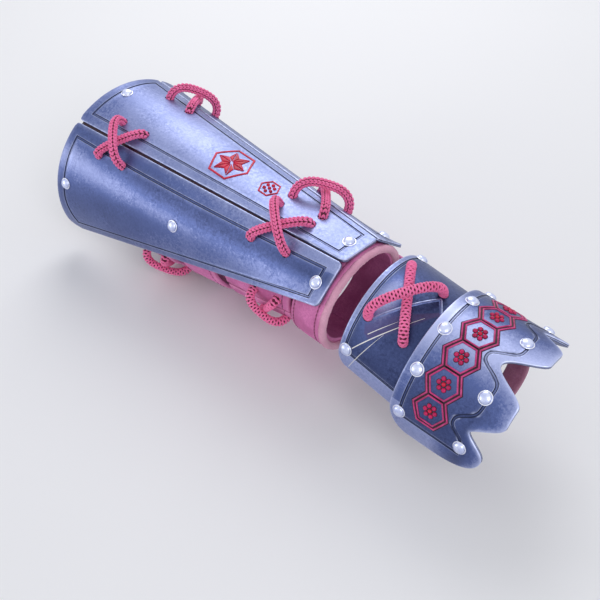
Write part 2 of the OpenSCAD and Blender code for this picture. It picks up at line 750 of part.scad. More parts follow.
module elbow_band() {
    color("palevioletred") laced_band(elbow_band_d, elbow_band_w, elbow_slit_angle, elbow_band_holes);
}

module middle_band() {
    color("palevioletred") sleeve_band(middle_band_d, middle_band_w);
}

module fore_band() {
    color("palevioletred") difference() {
        laced_band(fore_band_d, fore_band_w + 4, fore_slit_angle, fore_band_holes);
        ahead_of_plane(cuff_rear_x - fore_band_gap);
        knot_windows();
    }
}

module wrist_cuff() {
    color("palevioletred") difference() {
        translate([-2 * reach, 0, -cuff_drop]) rotate([0, 90, 0]) cylinder(r = cuff_r, h = 4 * reach, $fn = 96);
        behind_plane(cuff_rear_x);
        ahead_of_plane(cuff_front_x);
        translate([-2 * reach - 1, 0, 0]) rotate([0, 90, 0]) cylinder(r = bore_r, h = 4 * reach + 2, $fn = 96);
        drilled([centre_rivets[1]], shank_r + hole_gap);
        on_point(centre_rivets[1]) translate([0, 0, -cuff_rivet_grip - reach / 2])
            cylinder(r = burr_r + pocket_gap, h = reach / 2);
        for (side = [NEAR, FAR]) sunk([side_rivets(side)[2]], burr_r + 1.2, plate_t + burr_t + 1.6);
        link_axis() translate([0, 0, bore_r]) cylinder(r = shank_r + hole_gap, h = reach);
        link_axis() translate([0, 0, bore_r - 3]) cylinder(r = burr_r + pocket_gap, h = 3 + cuff_pocket);
    }
}

module cuff_piping() {
    color("pink") cuff_frame(cuff_front_x) rotate([0, 90, 0])
        rotate_extrude($fn = 96) intersection() {
            translate([piping_ring_r, piping_mid]) circle(r = piping_r, $fn = 32);
            translate([piping_ring_r - 2 * piping_r, 0]) square(4 * piping_r);
        }
}

module elbow_band_lace() {
    band_lace(elbow_band_holes);
}

module fore_band_lace() {
    band_lace(fore_band_holes);
}

// Side plates
module side_plate(side) {
    color("slateblue") difference() {
        plate_sheet(side, 0, plate_t);
        drilled(side_rivets(side), shank_r + hole_gap);
        drilled([for (k = [2, 3]) elbow_holes(side)[k]], lace_hole_r);
        drilled([for (k = [2, 3]) wrist_holes(side)[k]], lace_hole_r);
    }
}

module side_plate_rivets(side) {
    color("lavender") for (place = side_rivets(side)) on_point(place) rivet(plate_t, head_gap);
}

module side_plate_burrs(side) {
    color("silver") for (place = side_rivets(side)) on_point(place) burr(plate_t);
}

// Link between the cuff and the hand guard, on the far side
module link_axis() {
    translate([link_pivot_x, 0, 0]) rotate([-90, 0, 0]) children();
}

// The strap lies flat outside the cuff's rim, then turns to lie against the inside of the lining's ear
link_hand_place = wrist_plate_place(-link_hand_back, link_hand_angle);
link_ear_depth = hand_grip + seat_gap;
link_rear_x = link_pivot_x - link_w / 2;
link_front_x = hand_world(link_hand_place[0])[0] + link_w / 2;
function link_half(x) =
    link_w / 2 - corner_inset(x - link_rear_x, link_corner) - corner_inset(link_front_x - x, link_corner);
function link_on_cuff(x, w, depth) = [x, link_y + link_t - depth, w];
function link_on_ear(x, w, depth) =
    let (
        from_rivet = x - hand_world(link_hand_place[0])[0],
        t = link_hand_angle - w / wrist_plate_r_rear * 180 / PI
    )
    hand_world(wrist_plate_point(from_rivet - link_hand_back, t, link_ear_depth + depth));
function link_cell(i, j, depth) =
    let (
        x = lerp(link_rear_x, link_front_x, i / link_rows),
        w = link_half(x) * (1 - 2 * j / link_cols),
        share = eased(min(1, max(0, (x - link_bend[0]) / (link_bend[1] - link_bend[0]))))
    )
    lerp(link_on_cuff(x, w, depth), link_on_ear(x, w, depth), share);
function link_grid(depth) =
    [for (i = [0 : link_rows]) [for (j = [0 : link_cols]) link_cell(i, j, depth)]];

module link_strap() {
    color("palevioletred") difference() {
        sheet_solid(link_grid(0), link_grid(link_t));
        link_axis() cylinder(r = shank_r + 0.05, h = 3 * reach);
        hand_frame() drilled([link_hand_place], shank_r + hole_gap);
    }
}

module link_pivot_rivet() {
    seat = link_y + link_t + 0.1;
    tail = bore_r + 0.4;
    color("lavender") link_axis() {
        translate([0, 0, seat]) dome_head();
        translate([0, 0, tail]) cylinder(r = shank_r, h = seat - tail + 2 * sliver);
        translate([0, 0, tail]) cylinder(r = shank_r + tail_lip, h = tail_t);
    }
}

module link_pivot_burr() {
    color("silver") link_axis() translate([0, 0, bore_r + cuff_pocket - burr_t - sliver]) difference() {
        cylinder(r = burr_r, h = burr_t);
        translate([0, 0, -1]) cylinder(r = shank_r + hole_gap, h = burr_t + 2);
    }
}

// Hand body
module wrist_plate() {
    color("slateblue") hand_frame() difference() {
        sheet_solid(wrist_plate_grid(0), wrist_plate_grid(wrist_plate_t));
        drilled(wrist_rivets, shank_r + hole_gap);
        drilled(hand_lace_holes, lace_hole_r);
        drilled(pivots, shank_r + 1);
    }
}

module wrist_plate_rivets() {
    color("lavender") hand_frame() for (place = wrist_rivets) on_point(place) rivet(hand_grip);
}

module wrist_plate_burrs() {
    color("silver") hand_frame() for (place = wrist_rivets) on_point(place) burr(hand_grip);
}

module wrist_plate_lace() {
    color("hotpink") hand_frame() x_lace(hand_lace_holes, hand_grip, hand_grip, hand_lace_rise);
}

// Leather under the wrist plate, with an ear that reaches past its far edge to the link strap
function hand_lining_cell(i, j, depth) =
    let (
        t = lerp(lining_side_inset - wrist_plate_angle, ear_angle, j / wrist_cols),
        in_ear = t > wrist_plate_angle - lining_side_inset,
        front = in_ear ? ear_front_x : lining_front_x,
        blend_t = min(1, max(0, (t - wrist_plate_angle + ear_blend_angle) / ear_blend_angle)),
        x = lerp(lining_rear_inset - wrist_plate_rear, lerp(lining_front_x, front, blend_t), i / 4)
    )
    wrist_plate_point(x, t, depth);
function hand_lining_grid(depth) =
    [for (i = [0 : 4]) [for (j = [0 : wrist_cols]) hand_lining_cell(i, j, depth)]];

module hand_lining() {
    color("palevioletred") hand_frame() difference() {
        sheet_solid(hand_lining_grid(wrist_plate_t + seat_gap), hand_lining_grid(hand_grip));
        drilled(concat(wrist_rivets, [link_hand_place]), shank_r + hole_gap);
        drilled(hand_lace_holes, lace_hole_r);
    }
}

module link_hand_rivet() {
    grip = lining_t + seat_gap + link_t;
    color("lavender") hand_frame() on_point(link_hand_place)
        translate([0, 0, -wrist_plate_t]) rivet(grip + seat_gap);
}

// Knuckle body
module knuckle_plate() {
    color("slateblue") hand_frame() difference() {
        sheet_solid(knuckle_grid(0), knuckle_grid(knuckle_t));
        drilled(concat(pivots, rear_rivets, loop_rivets, low_rivets), shank_r + hole_gap);
    }
}

module pivot_rivets() {
    color("lavender") hand_frame() for (place = pivots) on_point(place) rivet(pivot_grip);
}

module pivot_washers() {
    gap_below = knuckle_r - knuckle_t - wrist_plate_r_front;
    color("saddlebrown") hand_frame() for (place = pivots) on_point(place)
        translate([0, 0, washer_gap - knuckle_t - gap_below]) difference() {
            cylinder(r = burr_r, h = gap_below - washer_gap - burr_gap);
            translate([0, 0, -1]) cylinder(r = shank_r + hole_gap, h = gap_below + 2);
        }
}

module pivot_burrs() {
    color("silver") hand_frame() for (place = pivots) on_point(place) burr(pivot_grip);
}

module knuckle_rear_rivets() {
    color("lavender") hand_frame() for (place = rear_rivets) on_point(place) rivet(knuckle_t);
}

module knuckle_front_rivets() {
    color("lavender") hand_frame() {
        for (place = loop_rivets) on_point(place) rivet(loop_grip);
        for (place = low_rivets) on_point(place) rivet(knuckle_t);
    }
}

module knuckle_burrs() {
    color("silver") hand_frame() {
        for (place = concat(rear_rivets, low_rivets)) on_point(place) burr(knuckle_t);
        for (place = loop_rivets) on_point(place) burr(loop_grip);
    }
}

module knuckle_shell(low, high) {
    rotate([0, 90, 0]) difference() {
        cylinder(r = knuckle_r + high, h = 2 * lobe_x, $fn = 96);
        translate([0, 0, -1]) cylinder(r = knuckle_r + low, h = 2 * lobe_x + 2, $fn = 96);
    }
}

// Raised enamel line round the hexagons of the row, one net in which neighbours share a wall
module kikko_frames() {
    color("deeppink") hand_frame() intersection() {
        knuckle_shell(sliver, enamel_h);
        difference() {
            kikko_prisms(kikko_half_width + kikko_line / 2, kikko_depth);
            kikko_prisms(kikko_half_width - kikko_line / 2, kikko_depth + 1);
        }
    }
}

module kikko_prisms(half_width, half_height) {
    for (t = kikko_angles)
        on_point(knuckle_place(kikko_x, t)) translate([0, 0, -half_height]) rotate([0, 0, 90])
            cylinder(r = half_width / cos(30), h = 2 * half_height, $fn = 6);
}

// Seven enamel dots in each hexagon
module kikko_flowers() {
    color("crimson") hand_frame()
        for (t = kikko_angles)
            on_point(knuckle_place(kikko_x, t)) {
                enamel_dot();
                for (a = [0 : 60 : 300]) rotate([0, 0, a]) translate([petal_ring_r, 0, 0]) enamel_dot();
            }
}

module enamel_dot() {
    translate([0, 0, sliver]) intersection() {
        sphere(r = dot_r, $fn = 24);
        cylinder(r = 2 * dot_r, h = 2 * dot_r);
    }
}

// Leather loop for the middle fingers, held by the two inner front rivets
module finger_loop() {
    ring_r = knuckle_r - knuckle_t - seat_gap;
    flange_a = 33;
    bottom_z = knuckle_r - loop_depth;
    round_r = loop_half;
    color("palevioletred") hand_frame() difference() {
        translate([loop_x - loop_w / 2, 0, 0]) rotate([90, 0, 90]) linear_extrude(height = loop_w) {
            difference() {
                intersection() {
                    circle(r = ring_r, $fn = 96);
                    polygon([[0, 0], for (a = [-flange_a, 0, flange_a]) 2 * ring_r * [sin(a), cos(a)]]);
                }
                circle(r = ring_r - lining_t, $fn = 96);
                translate([-loop_half + lining_t, 0]) square([2 * (loop_half - lining_t), 2 * ring_r]);
            }
            intersection() {
                circle(r = ring_r - lining_t / 2, $fn = 96);
                difference() {
                    union() {
                        translate([0, bottom_z + round_r]) circle(r = round_r, $fn = 64);
                        translate([-loop_half, bottom_z + round_r]) square([2 * loop_half, 2 * ring_r]);
                    }
                    translate([0, bottom_z + round_r]) circle(r = round_r - lining_t, $fn = 64);
                    translate([-loop_half + lining_t, bottom_z + round_r]) square([2 * (loop_half - lining_t), 2 * ring_r]);
                }
            }
        }
        drilled(loop_rivets, shank_r + hole_gap);
    }
}

centre_plate();
centre_plate_rivets();
centre_plate_burrs();
centre_lining();
centre_star();
centre_badge();
elbow_band();
middle_band();
fore_band();
wrist_cuff();
cuff_piping();
elbow_band_lace();
fore_band_lace();
side_plate(NEAR);  // near_plate
side_plate_rivets(NEAR);  // near_plate_rivets
side_plate_burrs(NEAR);  // near_plate_burrs
side_plate(FAR);  // far_plate
side_plate_rivets(FAR);  // far_plate_rivets
side_plate_burrs(FAR);  // far_plate_burrs
seam_lace(elbow_holes(NEAR), elbow_lace_rise);  // near_elbow_lace
seam_lace(wrist_holes(NEAR), wrist_lace_rise);  // near_wrist_lace
seam_lace(elbow_holes(FAR), elbow_lace_rise);  // far_elbow_lace
seam_lace(wrist_holes(FAR), wrist_lace_rise);  // far_wrist_lace
link_strap();
link_pivot_rivet();
link_pivot_burr();
wrist_plate();
wrist_plate_rivets();
wrist_plate_burrs();
wrist_plate_lace();
hand_lining();
link_hand_rivet();
knuckle_plate();
pivot_rivets();
pivot_washers();
pivot_burrs();
knuckle_rear_rivets();
knuckle_front_rivets();
knuckle_burrs();
kikko_frames();
kikko_flowers();
finger_loop();
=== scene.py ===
"""Looks of the laced samurai gauntlet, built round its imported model."""

import json
import logging
import math
from dataclasses import dataclass, field
from enum import Enum
from functools import partial
from typing import Callable, Optional, Sequence, Union

import bpy
import numpy as np
from mathutils import Matrix, Vector
from mathutils.kdtree import KDTree

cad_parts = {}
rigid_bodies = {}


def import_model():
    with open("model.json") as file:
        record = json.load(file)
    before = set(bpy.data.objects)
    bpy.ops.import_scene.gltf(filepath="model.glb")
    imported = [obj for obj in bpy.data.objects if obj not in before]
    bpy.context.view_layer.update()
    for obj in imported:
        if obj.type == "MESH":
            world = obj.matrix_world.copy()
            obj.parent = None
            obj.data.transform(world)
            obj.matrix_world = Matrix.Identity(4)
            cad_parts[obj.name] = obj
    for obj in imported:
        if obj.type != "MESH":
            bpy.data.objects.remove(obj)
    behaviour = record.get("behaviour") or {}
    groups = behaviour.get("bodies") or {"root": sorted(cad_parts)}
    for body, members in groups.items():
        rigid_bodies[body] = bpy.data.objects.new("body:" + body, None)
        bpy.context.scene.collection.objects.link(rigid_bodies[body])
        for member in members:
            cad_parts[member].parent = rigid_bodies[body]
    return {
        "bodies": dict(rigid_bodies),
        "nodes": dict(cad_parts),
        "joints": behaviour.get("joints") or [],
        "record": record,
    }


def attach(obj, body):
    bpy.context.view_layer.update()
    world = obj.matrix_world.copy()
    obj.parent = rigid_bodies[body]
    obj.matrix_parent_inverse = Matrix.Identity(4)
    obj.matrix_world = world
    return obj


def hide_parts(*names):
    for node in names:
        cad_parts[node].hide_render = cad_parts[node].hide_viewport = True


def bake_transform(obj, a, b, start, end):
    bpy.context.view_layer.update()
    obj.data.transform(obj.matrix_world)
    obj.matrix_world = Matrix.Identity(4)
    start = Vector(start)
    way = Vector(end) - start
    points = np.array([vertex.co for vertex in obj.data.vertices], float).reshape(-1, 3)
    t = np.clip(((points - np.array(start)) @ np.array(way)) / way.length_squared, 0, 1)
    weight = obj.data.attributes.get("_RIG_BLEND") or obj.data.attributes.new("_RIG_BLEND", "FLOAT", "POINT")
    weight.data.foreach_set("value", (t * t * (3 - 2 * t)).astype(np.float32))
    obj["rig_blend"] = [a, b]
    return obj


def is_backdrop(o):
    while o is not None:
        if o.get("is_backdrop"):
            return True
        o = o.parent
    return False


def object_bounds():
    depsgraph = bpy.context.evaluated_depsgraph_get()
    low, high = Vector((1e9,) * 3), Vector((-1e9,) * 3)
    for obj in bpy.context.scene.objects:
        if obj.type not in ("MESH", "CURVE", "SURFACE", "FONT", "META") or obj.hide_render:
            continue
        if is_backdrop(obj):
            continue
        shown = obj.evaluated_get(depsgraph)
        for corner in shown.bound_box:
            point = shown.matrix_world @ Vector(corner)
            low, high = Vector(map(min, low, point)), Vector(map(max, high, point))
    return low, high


Array = np.ndarray
Number = Union[float, np.ndarray]
Material = bpy.types.Material
Thing = bpy.types.Object
Socket = bpy.types.NodeSocket
Feed = Union[bpy.types.NodeSocket, float, tuple]

MM = 0.001
LOG = logging.getLogger("gauntlet")
AHEAD = np.array([1.0, 0.0, 0.0])
# Side of the photograph's square frame, in pixels
FRAME_PIXELS = 600
# Radius of every lace hole, in mm
LACE_HOLE_R = 3.05
# Waves round each rib of a wrapped cord
RIB_WAVES = 5
# Distance in mm that stands for no engraved line near
NO_LINE = 9.0


class Side(Enum):
    """Which of the three forearm plates a point lies on."""

    NEAR = -1
    CENTRE = 0
    FAR = 1


class Weave(Enum):
    """How a cord's outside is made."""

    KNITTED = "knitted"
    RIBBED = "ribbed"


# Small numpy helpers


def unit(v: Array) -> Array:
    """Scales each vector of the last axis to length one."""
    return v / np.maximum(np.linalg.norm(v, axis=-1, keepdims=True), 1e-12)


def lerp(a: Number, b: Number, share: Number) -> Number:
    """Goes from a to b by a share."""
    return a + (b - a) * share


def hump(values: Number, at: float, reach: float) -> Number:
    """A soft rise to one at a place, which falls off over a reach."""
    return np.exp(-(((values - at) / reach) ** 2))


def circle(count: int) -> Array:
    """Even angles once round, in radians."""
    return np.linspace(0, 2 * math.pi, count, endpoint=False)


def stack(*parts: Number) -> Array:
    """Joins coordinate arrays, spread to one shape, into an array of points."""
    return np.stack(np.broadcast_arrays(*parts), axis=-1).astype(float)


def smoothed(path: Array, times: int) -> Array:
    """Evens out a path's bends, its ends kept.

    Args:
        path: Points of the path, changed in place.
        times: How often.

    Returns:
        The same array.
    """
    for _ in range(times):
        path[1:-1] = (path[:-2] + 2 * path[1:-1] + path[2:]) / 4
    return path


def turning(x: float, y: float, z: float) -> Array:
    """Rotation matrix for a turn about X, then Y, then Z, in degrees."""
    about_x, about_y, about_z = (Matrix.Rotation(math.radians(a), 3, k) for a, k in zip((x, y, z), "XYZ"))
    return np.array(about_z @ about_y @ about_x)


def eulers(frames: Array) -> Array:
    """Turns rotation matrices, whose columns are the local axes, into XYZ Euler angles.

    Args:
        frames: Array of shape (n, 3, 3).

    Returns:
        Array of shape (n, 3), in radians.
    """
    y = np.arcsin(np.clip(-frames[:, 2, 0], -1, 1))
    x = np.arctan2(frames[:, 2, 1], frames[:, 2, 2])
    z = np.arctan2(frames[:, 1, 0], frames[:, 0, 0])
    return np.stack([x, y, z], axis=1)


def frame_on(normal: Array, towards: Array) -> Array:
    """Axes whose Z is a normal and whose X points as nearly as it can towards a direction.

    Args:
        normal: The normal, or an array of normals.
        towards: The direction, or one for each normal.

    Returns:
        The axes as columns.
    """
    z = unit(np.asarray(normal, float))
    x = unit(towards - np.sum(towards * z, axis=-1, keepdims=True) * z)
    return np.stack([x, np.cross(z, x), z], axis=-1)


def corner_inset(away: Array, radius: float) -> Array:
    """How far a rounded corner draws an edge in, at a distance from the corner's side."""
    inside = np.clip(away, 0, radius)
    return radius - np.sqrt(np.maximum(0, radius**2 - (radius - inside) ** 2))


def oval_inset(away: Array, half: float) -> Array:
    """Share of an oval corner's inset, at a distance past the corner's start."""
    return 1 - np.sqrt(np.maximum(0, 1 - np.clip(away / half, 0, 1) ** 2))


def edge_rounding(rim: Array) -> Array:
    """Depth of a strap's rounded edge at a distance from it."""
    return np.interp(rim, (0, 0.3, 0.8, 1.5), (0.45, 0.2, 0.05, 0.0))


def spot(surface: Callable, x: float, t: float) -> tuple:
    """Point and normal of a surface at one spot."""
    points, normals = surface(np.array(float(x)), np.array(float(t)))
    return np.ravel(points), np.ravel(normals)


def widened(outline: Array, offset: float) -> Array:
    """Moves a closed outline, which runs anticlockwise, outwards.

    Args:
        outline: Its corners, of shape (n, 2).
        offset: How far each side moves.

    Returns:
        The new corners.
    """
    run = unit(np.roll(outline, -1, axis=0) - outline)
    normal = np.stack([run[:, 1], -run[:, 0]], axis=1)
    before = np.roll(normal, 1, axis=0)
    return outline + offset * (normal + before) / (1 + np.sum(normal * before, axis=1, keepdims=True))


def dense_round(outline: Array, steps: int) -> Array:
    """Points along a closed outline, a number of steps for each side."""
    ends = np.roll(outline, -1, axis=0)
    return np.concatenate([np.linspace(a, b, steps, endpoint=False) for a, b in zip(outline, ends)])


def hexagon(radius: float, start: float = 0.0) -> Array:
    """Corners of a hexagon, the first one at an angle in degrees."""
    angles = np.radians(np.arange(start, start + 360, 60))
    return np.array([(radius * math.cos(a), radius * math.sin(a)) for a in angles])


# Meshes


@dataclass
class Piece:
    """A mesh in the making: points in mm, faces, and values for each point."""

    points: Array
    faces: list
    values: dict = field(default_factory=dict)

    def outward(self) -> "Piece":
        """Turns every face round where the closed shell's volume comes out negative.

        Returns:
            The same piece.
        """
        volume = 0.0
        for face in self.faces:
            p = self.points[list(face)]
            for k in range(1, len(face) - 1):
                volume += float(np.dot(p[0], np.cross(p[k], p[k + 1])))
        if volume < 0:
            self.faces = [tuple(reversed(face)) for face in self.faces]
        return self

    def object(self, name: str, material: Material, sharp: float = 40.0) -> Thing:
        """Makes the Blender object, in metres, at the origin.

        Args:
            name: The object's name.
            material: Its material.
            sharp: Edges that bend more than this, in degrees, stay sharp.

        Returns:
            The new object.
        """
        mesh = bpy.data.meshes.new(name)
        mesh.from_pydata((self.points * MM).tolist(), [], [tuple(int(i) for i in f) for f in self.faces])
        for key, value in self.values.items():
            layer = mesh.attributes.new(key, "FLOAT", "POINT")
            layer.data.foreach_set("value", np.asarray(value, np.float32).ravel())
        mesh.materials.append(material)
        mesh.polygons.foreach_set("use_smooth", np.ones(len(mesh.polygons), bool))
        mesh.update()
        mesh.set_sharp_from_angle(angle=math.radians(sharp))
        made = bpy.data.objects.new(name, mesh)
        bpy.context.scene.collection.objects.link(made)
        return made


def joined(parts: Sequence[Piece]) -> Piece:
    """Puts several pieces into one.

    Args:
        parts: The pieces; a value that one lacks is 0 on it.

    Returns:
        The joined piece.
    """
    points, faces, values, start = [], [], {}, 0
    keys = set().union(*[set(p.values) for p in parts])
    for part in parts:
        points.append(part.points)
        faces.extend(tuple(i + start for i in face) for face in part.faces)
        for key in keys:
            values.setdefault(key, []).append(np.ravel(part.values.get(key, np.zeros(len(part.points)))))
        start += len(part.points)
    return Piece(np.concatenate(points), faces, {k: np.concatenate(v) for k, v in values.items()})


def wrapped_grid(points: Array, close_rows: bool, close_cols: bool) -> Piece:
    """Joins a grid of points by quads.

    Args:
        points: Array of shape (rows, cols, 3).
        close_rows: Whether the last row joins the first.
        close_cols: Whether the last column joins the first.

    Returns:
        The piece, its open ends left open.
    """
    rows, cols = points.shape[:2]
    faces = []
    for i in range(rows if close_rows else rows - 1):
        for j in range(cols if close_cols else cols - 1):
            a, b = i * cols + j, i * cols + (j + 1) % cols
            c, d = ((i + 1) % rows) * cols + j, ((i + 1) % rows) * cols + (j + 1) % cols
            faces.append((a, b, d, c))
    return Piece(points.reshape(-1, 3), faces)


def tube(rings: Array) -> Piece:
    """A closed tube with flat ends.

    Args:
        rings: Points of its rings, of shape (rings, points, 3).

    Returns:
        The tube.
    """
    piece = wrapped_grid(rings, False, True)
    rows, cols = rings.shape[:2]
    piece.faces.append(tuple(range(cols)))
    piece.faces.append(tuple(reversed(range((rows - 1) * cols, rows * cols))))
    return piece.outward()


def lathe(profile: Sequence[tuple], sides: int = 40) -> Piece:
    """Turns an outline about Z.

    Args:
        profile: Pairs of radius and height, the first and the last on the axis.
        sides: Steps round the axis.

    Returns:
        The closed piece.
    """
    inner = np.array(profile[1:-1], float)
    angle = circle(sides)
    rings = stack(inner[:, :1] * np.cos(angle), inner[:, :1] * np.sin(angle), inner[:, 1:] + 0 * angle)
    piece = wrapped_grid(rings, False, True)
    first, last = len(piece.points), len(piece.points) + 1
    ends = np.array([[0, 0, profile[0][1]], [0, 0, profile[-1][1]]], float)
    piece.points = np.concatenate([piece.points, ends])
    start = (len(inner) - 1) * sides
    for k in range(sides):
        piece.faces.append((first, (k + 1) % sides, k))
        piece.faces.append((last, start + k, start + (k + 1) % sides))
    return piece.outward()


# Relief of a sheet


@dataclass(frozen=True)
class Relief:
    """Depths below a sheet's outside, in mm: an engraved channel and a worn edge."""

    channel_half: float = 0.8
    channel_depth: float = 0.4
    lip: float = 0.06
    edge_reach: tuple = (0.0, 0.12, 0.35, 0.7, 1.1)
    edge_depth: tuple = (0.5, 0.28, 0.1, 0.02, 0.0)

    def channel_stops(self) -> list:
        """Distances from the channel's middle at which its section bends."""
        half = self.channel_half
        side = [half + 0.45, half + 0.2, half, 0.72 * half, 0.4 * half]
        return [-v for v in side] + [0.0] + side[::-1]

    def channel(self, away: Array) -> Array:
        """Depth at a distance from the channel's middle."""
        side = [0, -self.lip, 0.02, self.channel_depth, 0.85 * self.channel_depth]
        return np.interp(away, self.channel_stops(), side + [0.8 * self.channel_depth] + side[::-1])

    def darkness(self, away: Array) -> Array:
        """How dark the channel's walls and floor are painted at a distance from its middle: painted shade."""
        side = [0, 0, 0.8, 1.0, 0.4]
        return np.interp(away, self.channel_stops(), side + [0.25] + side[::-1])

    def edge(self, away: Array) -> Array:
        """Depth at a distance from the outline."""
        return np.interp(away, self.edge_reach, self.edge_depth)


# Reliefs of the steel plates, of the leather bands with their sewn groove, and of the two linings
STEEL_RELIEF = Relief()
BAND_RELIEF = Relief(0.3, 0.22, 0.0, (0, 0.2, 0.6, 1.2, 2.0), (0.65, 0.38, 0.16, 0.04, 0.0))
HAND_LINING_RELIEF = Relief(0.3, 0.2, 0.0, (0, 0.2, 0.6, 1.2, 2.0), (0.4, 0.22, 0.08, 0.0, 0.0))
CENTRE_LINING_RELIEF = Relief(0.35, 0.2, 0.0, edge_depth=(0.3, 0.15, 0.05, 0, 0))


@dataclass
class Ruling:
    """Rows or columns of a sheet, crowded along its outline and its engraved lines."""

    channels: Sequence[bool]
    nominal: Sequence[float]
    relief: Relief
    spacing: float
    stations: list = field(default_factory=list)

    def __post_init__(self) -> None:
        """Works out the stations as (first mark, second mark, share, offset in mm)."""
        reach = self.relief.edge_reach
        stops = self.relief.channel_stops()
        last = len(self.nominal) - 1
        for k, engraved in enumerate(self.channels):
            own = [0.0]
            if engraved:
                own = stops
            elif k == 0:
                own = list(reach)
            elif k == last:
                own = [-r for r in reversed(reach)]
            self.stations += [(k, k, 0.0, offset) for offset in own]
            if k < last:
                low = own[-1]
                high = stops[0] if self.channels[k + 1] else 0.0
                high = -reach[-1] if k + 1 == last else high
                gap = self.nominal[k + 1] + high - self.nominal[k] - low
                steps = max(2, round(gap / self.spacing))
                shares = [n / steps for n in range(1, steps)]
                self.stations += [(k, k + 1, s, low * (1 - s) + high * s) for s in shares]

    def values(self, marks: Sequence[Array]) -> Array:
        """Places the stations between the marks."""
        return np.array([lerp(marks[a], marks[b], s) + offset for a, b, s, offset in self.stations])


# Loops of a sheet's wall: share of the thickness, inset in mm, wear and darkness; on steel the wear column
# paints a highlight line along the wall and the darkness column paints shade on it
STEEL_WALL = (
    (0.25, 0.0, 0.55, 0.3),
    (0.32, 0.26, 0.0, 1.0),
    (0.5, 0.26, 0.0, 1.0),
    (0.57, 0.0, 0.8, 0.0),
    (0.8, 0.0, 0.3, 0.7),
)
LEATHER_WALL = ((0.2, -0.12, 0.5, 0.0), (0.5, -0.2, 0.3, 0.0), (0.8, -0.12, 0.2, 0.2))
CUFF_WALL = ((0.2, -0.5, 0.4, 0.0), (0.5, -0.7, 0.3, 0.0), (0.8, -0.5, 0.2, 0.0))
STRIP_WALL = ((0.5, -0.1, 0.0, 0.0),)


def sheet(top: Array, bottom: Array, wall: Sequence[tuple], values: dict) -> Piece:
    """Closes a sheet from its outside, its inside and a wall round both.

    Args:
        top: Points of the outside, of shape (rows, cols, 3).
        bottom: Points of the inside, in the same order.
        wall: Loops between them, as STEEL_WALL gives them.
        values: Arrays of shape (rows, cols) that the outside's points carry.

    Returns:
        The closed piece.
    """
    rows, cols = top.shape[:2]
    n = rows * cols
    rim = [(0, j) for j in range(cols)] + [(i, cols - 1) for i in range(1, rows)]
    rim += [(rows - 1, j) for j in range(cols - 2, -1, -1)] + [(i, 0) for i in range(rows - 2, 0, -1)]
    rim_i, rim_j = np.array(rim).T
    within = top[np.clip(rim_i, 1, rows - 2), np.clip(rim_j, 1, cols - 2)]
    upper, lower = top[rim_i, rim_j], bottom[rim_i, rim_j]
    inward = unit(within - upper)
    loops = [lerp(upper, lower, loop[0]) + loop[1] * inward for loop in wall]
    piece = Piece(np.concatenate([top.reshape(-1, 3), bottom.reshape(-1, 3), *loops]), [])
    for i in range(rows - 1):
        for j in range(cols - 1):
            a = i * cols + j
            piece.faces.append((a, a + 1, a + cols + 1, a + cols))
            piece.faces.append((a + n, a + n + cols, a + n + cols + 1, a + n + 1))
    index = rim_i * cols + rim_j
    chain = [index, *[2 * n + k * len(rim) + np.arange(len(rim)) for k in range(len(wall))], index + n]
    for above, below in zip(chain, chain[1:]):
        for k in range(len(rim)):
            m = (k + 1) % len(rim)
            piece.faces.append((above[k], below[k], below[m], above[m]))
    for key, value in values.items():
        # The inside gets painted shade and no wear; the wall loops take theirs from the table
        under = {"wear": 0.0, "dark": 0.35}.get(key, float(np.mean(value)))
        column = {"wear": 2, "dark": 3}.get(key)
        sides = [np.full(len(rim), under if column is None else loop[column]) for loop in wall]
        piece.values[key] = np.concatenate([value.ravel(), np.full(n, under), *sides])
    return piece.outward()


def strap(top: Array, bottom: Array, rim: Array) -> Piece:
    """Closes a leather strap, rubbed along its edges."""
    return sheet(top, bottom, LEATHER_WALL, {"wear": np.exp(-rim / 0.8), "dark": np.zeros(rim.shape)})


def relief_sheet(
    surface: Callable,
    along: Array,
    across: Array,
    from_channel: Array,
    from_edge: Array,
    relief: Relief,
    thickness: float,
    wall: Sequence[tuple],
    shade: Number = 0.5,
) -> Piece:
    """Builds a sheet with an engraved channel and worn edges, a painted highlight beside the channel's lips,
    painted shade in the channel and painted light and shade over it.

    Args:
        surface: Gives the points and outward normals for along and across values.
        along: Place along the sheet for each grid point.
        across: Place across the sheet for each grid point.
        from_channel: Signed distance from the engraved line's middle, in mm.
        from_edge: Distance from the outline, in mm.
        relief: The depths.
        thickness: The sheet's thickness in mm.
        wall: Loops of the wall, as sheet() takes them.
        shade: Painted light and shade, from 0 to 1, as a number or an array like along.

    Returns:
        The closed piece with its wear and painted highlights, its darkness (painted shade) and its shade
        (painted light and shade).
    """
    points, normals = surface(along, across)
    depth = relief.channel(from_channel) + relief.edge(from_edge)
    # A painted highlight along both lips of the channel, kept with the worn edges
    beside_lip = hump(np.abs(from_channel), relief.channel_half + 0.22, 0.15)
    wear = np.maximum(np.exp(-from_edge / 0.5), 0.5 * beside_lip)
    top = points - depth[..., None] * normals
    bottom = points - thickness * normals
    values = {"wear": wear, "dark": relief.darkness(from_channel), "shade": shade + 0 * wear}
    return sheet(top, bottom, wall, values)


# Shader nodes


